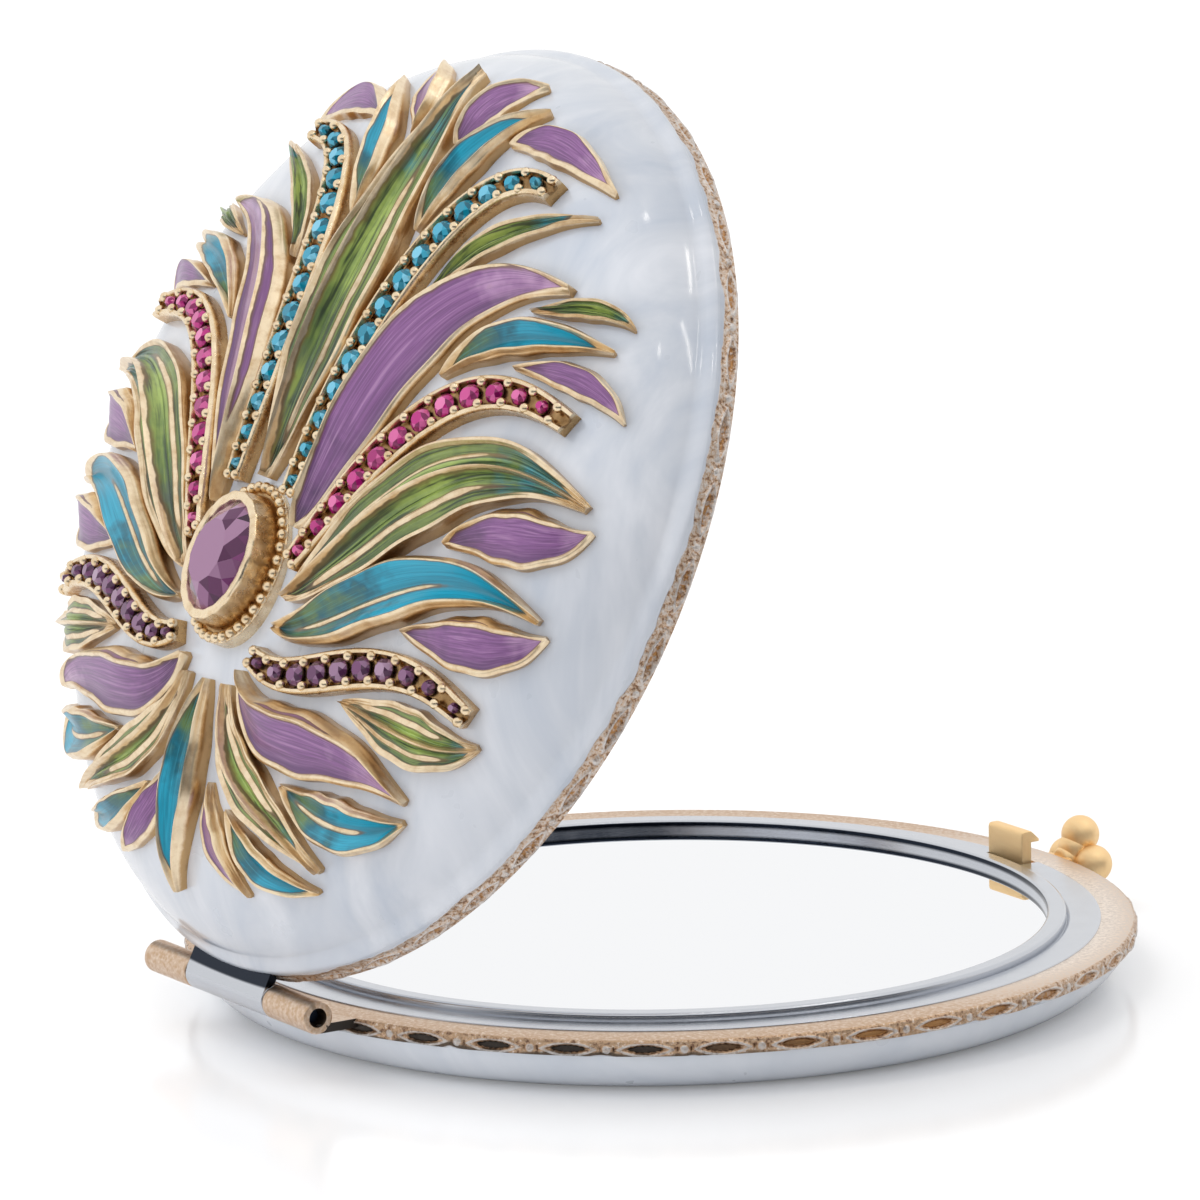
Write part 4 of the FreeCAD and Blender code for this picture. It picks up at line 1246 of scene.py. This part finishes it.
def hinge_leaf(start, end, bottom):
    """Sheet from the barrel to the rim: a rounded bar whose inner edge follows the round case.

    Its cut ends are dark with painted shade, and on the steel leaf a band of painted shade runs along its
    inner part.
    """
    x = np.linspace(start, end, 24)
    x = np.concatenate([x[:1], x[:1], x[:1] + 0.05, x[1:-1], x[-1:] - 0.05, x[-1:], x[-1:]])[:, None]
    cut = np.where((x == start) | (x == end), -0.3, 0.0)
    top = bottom + leaf_sheet
    section = rounded([(0, bottom, 0.1), (1, bottom, 0.1), (1, top, 0.1)]
                      + [(place, top, 0) for place in leaf_shade_fade] + [(0, top, 0.1)])
    inner = np.sqrt((case_radius - 0.3) ** 2 - x ** 2)
    y = inner + (hinge_y - inner) * section[:, 0]
    z = section[:, 1] + 0 * x
    middle = bottom + leaf_sheet / 2
    for k in (0, -1):
        y[k] = (inner[k] + hinge_y) / 2
        z[k] = middle
    # A band of painted shade runs from the leaf's inner edge, between the dome and the barrel.
    shade = 0.7 * ramped(section[:, 0], *leaf_shade_fade)[None]
    return skin(np.stack([x + 0 * y, y, z], -1), depth=cut, tarnish=1.0, past=-1.0, grit=0.2, shade=shade)


class COMPACT_OT_hinge(bpy.types.Operator):
    """Rolled knuckles of the hinge with their leaves."""

    bl_idname = "compact.hinge"
    bl_label = "Hinge"

    def execute(self, context):
        base_leaf = hinge_z - barrel_radius
        for name, sign in (("left", 1), ("right", -1)):
            span = sorted((sign * barrel_start, sign * barrel_end))
            shells = [barrel(*span, pin_radius, 1.25 * math.pi),
                      hinge_leaf(span[0] + 0.12, span[1] - 0.12, base_leaf)]
            piece("knuckle_" + name, shells, stamped_gilt(), "base", ["hinge_knuckle_" + name])
        lid_leaf = hinge_z + barrel_radius - leaf_sheet
        shells = [barrel(-middle_end, middle_end, pin_radius + 0.04, 0.75 * math.pi),
                  hinge_leaf(0.05 - middle_end, middle_end - 0.05, lid_leaf)]
        piece("knuckle_middle", shells, polished_steel(), "lid", ["hinge_knuckle_lid"])
        return {"FINISHED"}


def bar(width, near, far, bottom, top, fillet):
    """Rounded bar across the latch line."""
    corners = ((near, bottom), (near, top), (far, top), (far, bottom))
    outline = rounded([(-y, z, fillet) for y, z in corners])
    ends = width / 2
    stations = [(-ends, 0.85), (-ends + fillet / 3, 0.96), (-ends + fillet, 1), (ends - fillet, 1),
                (ends - fillet / 3, 0.96), (ends, 0.85)]
    return skin(carried(outline, stations, (-(near + far) / 2, (bottom + top) / 2)))


class COMPACT_OT_latch(bpy.types.Operator):
    """Hook of the latch with its slide bar, and the trefoil thumb button."""

    bl_idname = "compact.latch"
    bl_label = "Latch"

    def execute(self, context):
        outline = rounded([(-hook_inner, bar_low, 0.05), (-hook_inner, hook_top, 0.32),
                           (-hook_outer, hook_top, 0.15), (-nose_tip, nose_low + 0.2, 0.08),
                           (-nose_tip, nose_low, 0.08), (-hook_outer, nose_low, 0.05),
                           (-hook_outer, bar_low, 0.05)])
        ends = hook_width / 2
        stations = [(-ends, 0.9), (-ends + 0.05, 0.97), (-ends + 0.15, 1), (ends - 0.15, 1),
                    (ends - 0.05, 0.97), (ends, 0.9)]
        heart = (-(hook_inner + hook_outer) / 2 - 0.1, nose_low + 0.35)
        hook = skin(carried(outline, stations, heart))
        slide = bar(bar_width, hook_outer - 0.1, button_inner + 0.3, bar_low, bar_top, 0.12)
        piece("latch_hook_gilt", [hook, slide], satin_gilt(), "latch", ["latch_hook"])
        pellet = ball(25, 40)
        axes = np.eye(3)
        balls = [placed(pellet, np.array((x, -button_centre, z)), axes, ball_radius)
                 for x, z in ((-ball_spread, ball_low), (ball_spread, ball_low), (0, ball_high))]
        middle = (bar_low + bar_top) / 2
        collar = rounded([(0, -button_inner, 0), (0.8, -button_inner, 0.2),
                          (neck_radius, -button_inner - 0.5, 0.2), (neck_radius, -button_centre, 0),
                          (0, -button_centre, 0)])
        turn = np.linspace(0, 2 * math.pi, 49)
        r = collar[:, :1] + 0 * turn
        neck = skin(np.stack([r * np.cos(turn), collar[:, 1:] + 0 * turn, middle + r * np.sin(turn)], -1))
        boss = placed(pellet, np.array((0, 0.6 - button_centre, (ball_low + ball_high) / 2)), axes, 1.25)
        shells = balls + [boss, neck]
        piece("thumb_button_trefoil", shells, satin_gilt(), "latch", ["thumb_button"])
        return {"FINISHED"}


class COMPACT_OT_leaves(bpy.types.Operator):
    """Leaves of the palmette in three enamels."""

    bl_idname = "compact.leaves"
    bl_label = "Leaves"

    def execute(self, context):
        keel = [(0, 0.0, 1.0), (-0.48, 0.12, 0.75), (0.48, 0.12, 0.75)]
        groups = [
            ("green", GREEN_LEAVES, RIBBED, 6, keel, green_enamel),
            ("teal", TEAL_LEAVES, GUTTER, 2, [(0.1, 0.15, 0.7)], teal_enamel),
            ("violet", VIOLET_LEAVES, BLADE, 2, [(-0.65, 0.05, 0.85)], violet_enamel),
        ]
        for name, places, section, flutes, ridges, enamel in groups:
            shells = [leaf(place, section, flutes, ridges, k + 1) for k, place in enumerate(places)]
            piece(name + "_leaves_enamel", both_sides(shells), enamel(), "lid",
                  [name + "_leaves"])
        return {"FINISHED"}


class COMPACT_OT_ribbons(bpy.types.Operator):
    """Gilt ribbons with their grains, and the rows of crystals in them."""

    bl_idname = "compact.ribbons"
    bl_label = "Ribbons and crystals"

    def execute(self, context):
        sizes = context.scene.compact_sizes
        rows = [("teal", TEAL_RIBBON, teal_glass), ("magenta", MAGENTA_RIBBON, magenta_glass),
                ("amethyst", AMETHYST_RIBBON, amethyst_glass)]
        pitch = sizes.crystal_pitch / MM
        grain = ball()
        gilt = []
        for k, (name, place, glass) in enumerate(rows):
            points, width = place
            gilt.append(ribbon(place, k + 1))
            t = crystal_places(place, pitch)
            point, along, side, normal = frames(points, t)
            room = ribbon_half(t, width) - ribbon_wall - crystal_room
            girdle = np.minimum(sizes.crystal_radius / MM, room)
            stones = []
            for j in range(len(t)):
                # Each crystal's table gets its own painted reflection.
                shine = 0.3 + 0.66 * (GOLDEN_SHARE * (j + k) % 1)
                cut = brilliant(sides=8, table=0.56, star=(0.8, 0.72), girdle=0.34, seed=7 * k + j,
                                shine=shine)
                scale = np.array((girdle[j], girdle[j], sizes.crystal_height / MM))
                seat = point[j] + normal[j] * (ribbon_floor + 0.05)
                stones.append(placed(cut, seat, (along[j], side[j], normal[j]), scale).outward())
            piece(name + "_crystals_cut", both_sides(stones), glass(), "lid",
                  [name + "_crystals"], smooth=False)
            first = t[0] - (t[1] - t[0]) / 2
            last = t[-1] + (t[-1] - t[-2]) / 2
            between = np.clip(np.concatenate([[first], (t[1:] + t[:-1]) / 2, [last]]), 0.01, 0.99)
            point, along, side, normal = frames(points, between)
            off = ribbon_half(between, width) * grain_place
            for j in range(len(between)):
                for way in (-1, 1):
                    seat = point[j] + side[j] * (way * off[j]) + normal[j] * (ribbon_height - grain_sink)
                    gilt.append(placed(grain, seat, np.eye(3), sizes.grain_radius / MM))
        piece("jewel_ribbons_gilt", both_sides(gilt), cast_gilt(), "lid", ["jewel_ribbons"])
        return {"FINISHED"}


class COMPACT_OT_centre_stone(bpy.types.Operator):
    """Large cut stone in its tapered setting."""

    bl_idname = "compact.centre_stone"
    bl_label = "Centre stone"

    def execute(self, context):
        crown = dome(np.array([[0.0, stone_offset]]))[0][0, 2]
        edge = stone_offset + setting_length / 2 + collar_reach
        bottom = dome(np.array([[0.0, edge]]))[0][0, 2] - leaf_foot
        top = crown + setting_height
        step = crown + collar_height
        girdle = top - stone_sink + stone_girdle
        inset = collet_wall + setting_draft
        a = np.linspace(0, 2 * math.pi, 145)

        def oval(outline, ripple):
            """Outline (offset from the setting's edge, height) carried round the oval."""
            offset = outline[:, :1] + ripple * np.sin(collet_ripples * a) * (outline[:, 1:] > step + 0.3)
            height = outline[:, 1:] + 0 * a
            # Painted shade on the collet wall just above the collar step.
            shade = 0.75 * ramped(height, step + 0.9, step) * (outline[:, :1] < 0.1) + 0 * a
            x = (setting_width / 2 + offset) * np.cos(a)
            y = stone_offset + (setting_length / 2 + offset) * np.sin(a)
            return skin(np.stack([x, y, height], -1), depth=shade)

        cup = rounded([(0, bottom, 0), (-setting_draft, top, 0.22), (-inset + 0.12, top, 0.2),
                       (-inset - 0.05, girdle, 0.05), (-inset - 0.4, girdle - 0.5, 0),
                       (-inset - 0.4, bottom, 0)])
        collar = rounded([(collar_reach, bottom, 0), (collar_reach, step, 0.12), (-0.4, step, 0),
                          (-0.4, bottom, 0)])
        b = 2 * math.pi * np.arange(collar_pearls) / collar_pearls
        out = collar_reach / 2
        seats = np.stack([(setting_width / 2 + out) * np.cos(b),
                          stone_offset + (setting_length / 2 + out) * np.sin(b),
                          np.full(collar_pearls, step + 0.12)], 1)
        pearls = [placed(ball(9, 14), seat, np.eye(3), collar_pearl_radius) for seat in seats]
        shells = [oval(cup, 0.03), oval(collar, 0.0)] + pearls
        piece("stone_collet_gilt", shells, cast_gilt(), "lid", ["stone_setting"])
        # The big table gets a bright painted reflection.
        stone = brilliant(sides=12, table=0.6, star=(0.8, 0.74), girdle=0.41, seed=3, shine=0.82)
        scale = np.array((setting_width / 2 - inset, setting_length / 2 - inset, stone_sink + stone_crown))
        shell = placed(stone, np.array((0, stone_offset, top - stone_sink)), np.eye(3), scale)
        piece("centre_stone_cut", [shell], violet_glass(), "lid", ["centre_stone"],
              smooth=False)
        return {"FINISHED"}


class COMPACT_OT_inner_pieces(bpy.types.Operator):
    """Finishes of the CAD pieces that stay as they are: pads, backing, spring, strike and pin."""

    bl_idname = "compact.inner_pieces"
    bl_label = "Inner pieces"

    def execute(self, context):
        finishes = {"base_pad": pressed_card, "lid_pad": pressed_card, "lid_backing": polished_steel,
                    "latch_spring": polished_steel, "latch_strike": polished_steel, "hinge_pin": blued_steel}
        for name, material in finishes.items():
            mesh = frame["nodes"][name].data
            mesh.materials.clear()
            mesh.materials.append(material())
        return {"FINISHED"}


# Stage

VIEW_AZIMUTH = math.radians(237.13)
VIEW_ELEVATION = math.radians(14.42)
VIEW_ROLL = math.radians(-1.0)
VIEW_DISTANCE = 0.7156
VIEW_FOCAL = 9679.0
IMAGE_SIZE = 1200.0
ORIGIN_PIXEL = (661.8, 978.1)
FLOOR_HALF = 3.0
FLOOR_Z = -0.02 * MM
DARK_ROOM = "#2C333F"


def camera():
    """Camera at the photograph's viewing angle: the foot's centre falls on its pixel without any shift."""
    a, e = VIEW_AZIMUTH, VIEW_ELEVATION
    back = Vector((math.sin(a) * math.cos(e), -math.cos(a) * math.cos(e), math.sin(e)))
    right = Vector((math.cos(a), math.sin(a), 0))
    up = back.cross(right)
    turn = Matrix((right * math.cos(VIEW_ROLL) + up * math.sin(VIEW_ROLL),
                   up * math.cos(VIEW_ROLL) - right * math.sin(VIEW_ROLL), back)).transposed()
    offset = Vector((ORIGIN_PIXEL[0] - IMAGE_SIZE / 2, IMAGE_SIZE / 2 - ORIGIN_PIXEL[1], -VIEW_FOCAL))
    pan = offset.rotation_difference(Vector((0, 0, -1))).to_matrix()
    data = bpy.data.cameras.new("camera")
    data.sensor_width = 36.0
    data.lens = VIEW_FOCAL * data.sensor_width / IMAGE_SIZE
    data.clip_start = 0.01
    made = bpy.data.objects.new("camera", data)
    made.matrix_world = Matrix.Translation(back * VIEW_DISTANCE) @ (turn @ pan).to_4x4()
    bpy.context.scene.collection.objects.link(made)
    bpy.context.scene.camera = made


def softbox(name, place, aim, along, width, height, watts, tint, mirrored=True):
    """Rectangular studio lamp turned from its place to an aim, with its width along a given way.

    Without mirrored, reflections don't show it.
    """
    data = bpy.data.lights.new(name, "AREA")
    data.shape = "RECTANGLE"
    data.size = width
    data.size_y = height
    data.energy = watts
    data.color = tint
    made = bpy.data.objects.new(name, data)
    back = (Vector(place) - Vector(aim)).normalized()
    side = (Vector(along) - back * back.dot(Vector(along))).normalized()
    turn = Matrix((side, back.cross(side), back)).transposed()
    made.matrix_world = Matrix.Translation(place) @ turn.to_4x4()
    made.visible_glossy = mirrored
    bpy.context.scene.collection.objects.link(made)


def sheet(name, corners, material):
    """Flat stage sheet of four corners."""
    mesh = bpy.data.meshes.new(name)
    mesh.from_pydata(corners, [], [(0, 1, 2, 3)])
    mesh.materials.append(material)
    made = bpy.data.objects.new(name, mesh)
    bpy.context.scene.collection.objects.link(made)


class COMPACT_OT_stage(bpy.types.Operator):
    """Floor, soft light and camera. Reflections show a dark room behind the camera and white elsewhere."""

    bl_idname = "compact.stage"
    bl_label = "Stage"

    def execute(self, context):
        scene = context.scene
        scene.view_settings.view_transform = "Standard"
        camera()
        corners = ((-1, -1), (1, -1), (1, 1), (-1, 1))
        sheet("floor", [(FLOOR_HALF * x, FLOOR_HALF * y, FLOOR_Z) for x, y in corners], acrylic_floor())
        world = bpy.data.worlds.new("studio")
        world.use_nodes = True
        tree = world.node_tree
        tree.nodes.clear()
        eye, glossy, clear = (
            node(tree, "LightPath", out=name)
            for name in ("Is Camera Ray", "Is Glossy Ray", "Is Transmission Ray"))
        seen = node(tree, "Math", {0: eye, 1: glossy}, operation="MAXIMUM")
        shown = node(tree, "Math", {0: seen, 1: clear}, operation="MAXIMUM")
        strength = node(tree, "MapRange", Value=shown, To_Min=0.76, To_Max=1.0)
        ways = node(tree, "TexCoord", out="Generated")
        facing = node(tree, "VectorMath", {0: ways, 1: (-0.95, 0.31, 0.0)}, out="Value",
                      operation="DOT_PRODUCT")
        beside = node(tree, "MapRange", Value=facing, From_Min=0.1, From_Max=0.7, **SMOOTH)
        height = node(tree, "SeparateXYZ", Vector=ways, out="Z")
        low_down = node(tree, "MapRange", Value=height, From_Min=0.5, From_Max=0.3, **SMOOTH)
        room = node(tree, "Math", {0: beside, 1: low_down}, operation="MULTIPLY")
        dark = node(tree, "Math", {0: room, 1: glossy}, operation="MULTIPLY")
        tone = node(tree, "Mix", {0: dark, 6: grey(1.0), 7: to_linear(DARK_ROOM)}, **MIX)
        sky = node(tree, "Background", Color=tone, Strength=strength)
        node(tree, "OutputWorld", Surface=sky)
        scene.world = world
        white, warm = (1.0, 1.0, 1.0), (1.0, 0.93, 0.85)
        dome_side = (-0.028, 0.015, 0.056)
        softbox("overhead", (0.35, 0.7, 1.2), (0, 0, 0.02), (1, 0, 0), 1.2, 1.2, 9.0, white, mirrored=False)
        softbox("fill", (-0.15, 1.1, 0.12), (0, 0, 0.02), (1, 0, 0), 0.8, 0.5, 3.6, white, mirrored=False)
        softbox("strip_back", (-0.28, -0.42, 0.92), dome_side, (-0.2, 0.09, 0), 0.22, 0.03, 0.2, warm)
        softbox("strip_right", (-0.575, -0.26, 0.84), dome_side, (-0.17, -0.09, -0.15), 0.24, 0.03, 0.2, warm)
        softbox("lamp_top", (0.02, -0.135, 1.05), dome_side, (1, 0, 0), 0.03, 0.06, 0.05, warm)
        softbox("lamp_side", (-0.52, 0.1, 0.92), dome_side, (1, 0, 0), 0.05, 0.03, 0.05, warm)
        return {"FINISHED"}


class COMPACT_PT_panel(bpy.types.Panel):
    """Lists the steps of the dressing with its sizes and colours."""

    bl_idname = "COMPACT_PT_panel"
    bl_label = "Compact mirror"
    bl_space_type = "VIEW_3D"
    bl_region_type = "UI"
    bl_category = "Compact"

    def draw(self, context):
        column = self.layout.column()
        for step in STEPS:
            column.operator(step.bl_idname)
        for group in (context.scene.compact_sizes, context.scene.compact_colours):
            for name in group.__annotations__:
                column.prop(group, name)


STEPS = (COMPACT_OT_base_case, COMPACT_OT_lid_case, COMPACT_OT_mirrors, COMPACT_OT_hinge, COMPACT_OT_latch,
         COMPACT_OT_leaves, COMPACT_OT_ribbons, COMPACT_OT_centre_stone, COMPACT_OT_inner_pieces,
         COMPACT_OT_stage)
CLASSES = (CompactSizes, CompactColours) + STEPS + (COMPACT_PT_panel,)


def register():
    """Registers the classes and hangs the settings on the scene."""
    for kind in CLASSES:
        bpy.utils.register_class(kind)
    bpy.types.Scene.compact_sizes = bpy.props.PointerProperty(type=CompactSizes)
    bpy.types.Scene.compact_colours = bpy.props.PointerProperty(type=CompactColours)


def unregister():
    """Takes the settings and classes away again."""
    del bpy.types.Scene.compact_colours
    del bpy.types.Scene.compact_sizes
    for kind in reversed(CLASSES):
        bpy.utils.unregister_class(kind)


def main():
    """Registers the classes and runs every step in order."""
    register()
    for step in STEPS:
        group, name = step.bl_idname.split(".")
        getattr(getattr(bpy.ops, group), name)()


if __name__ == "__main__":
    main()
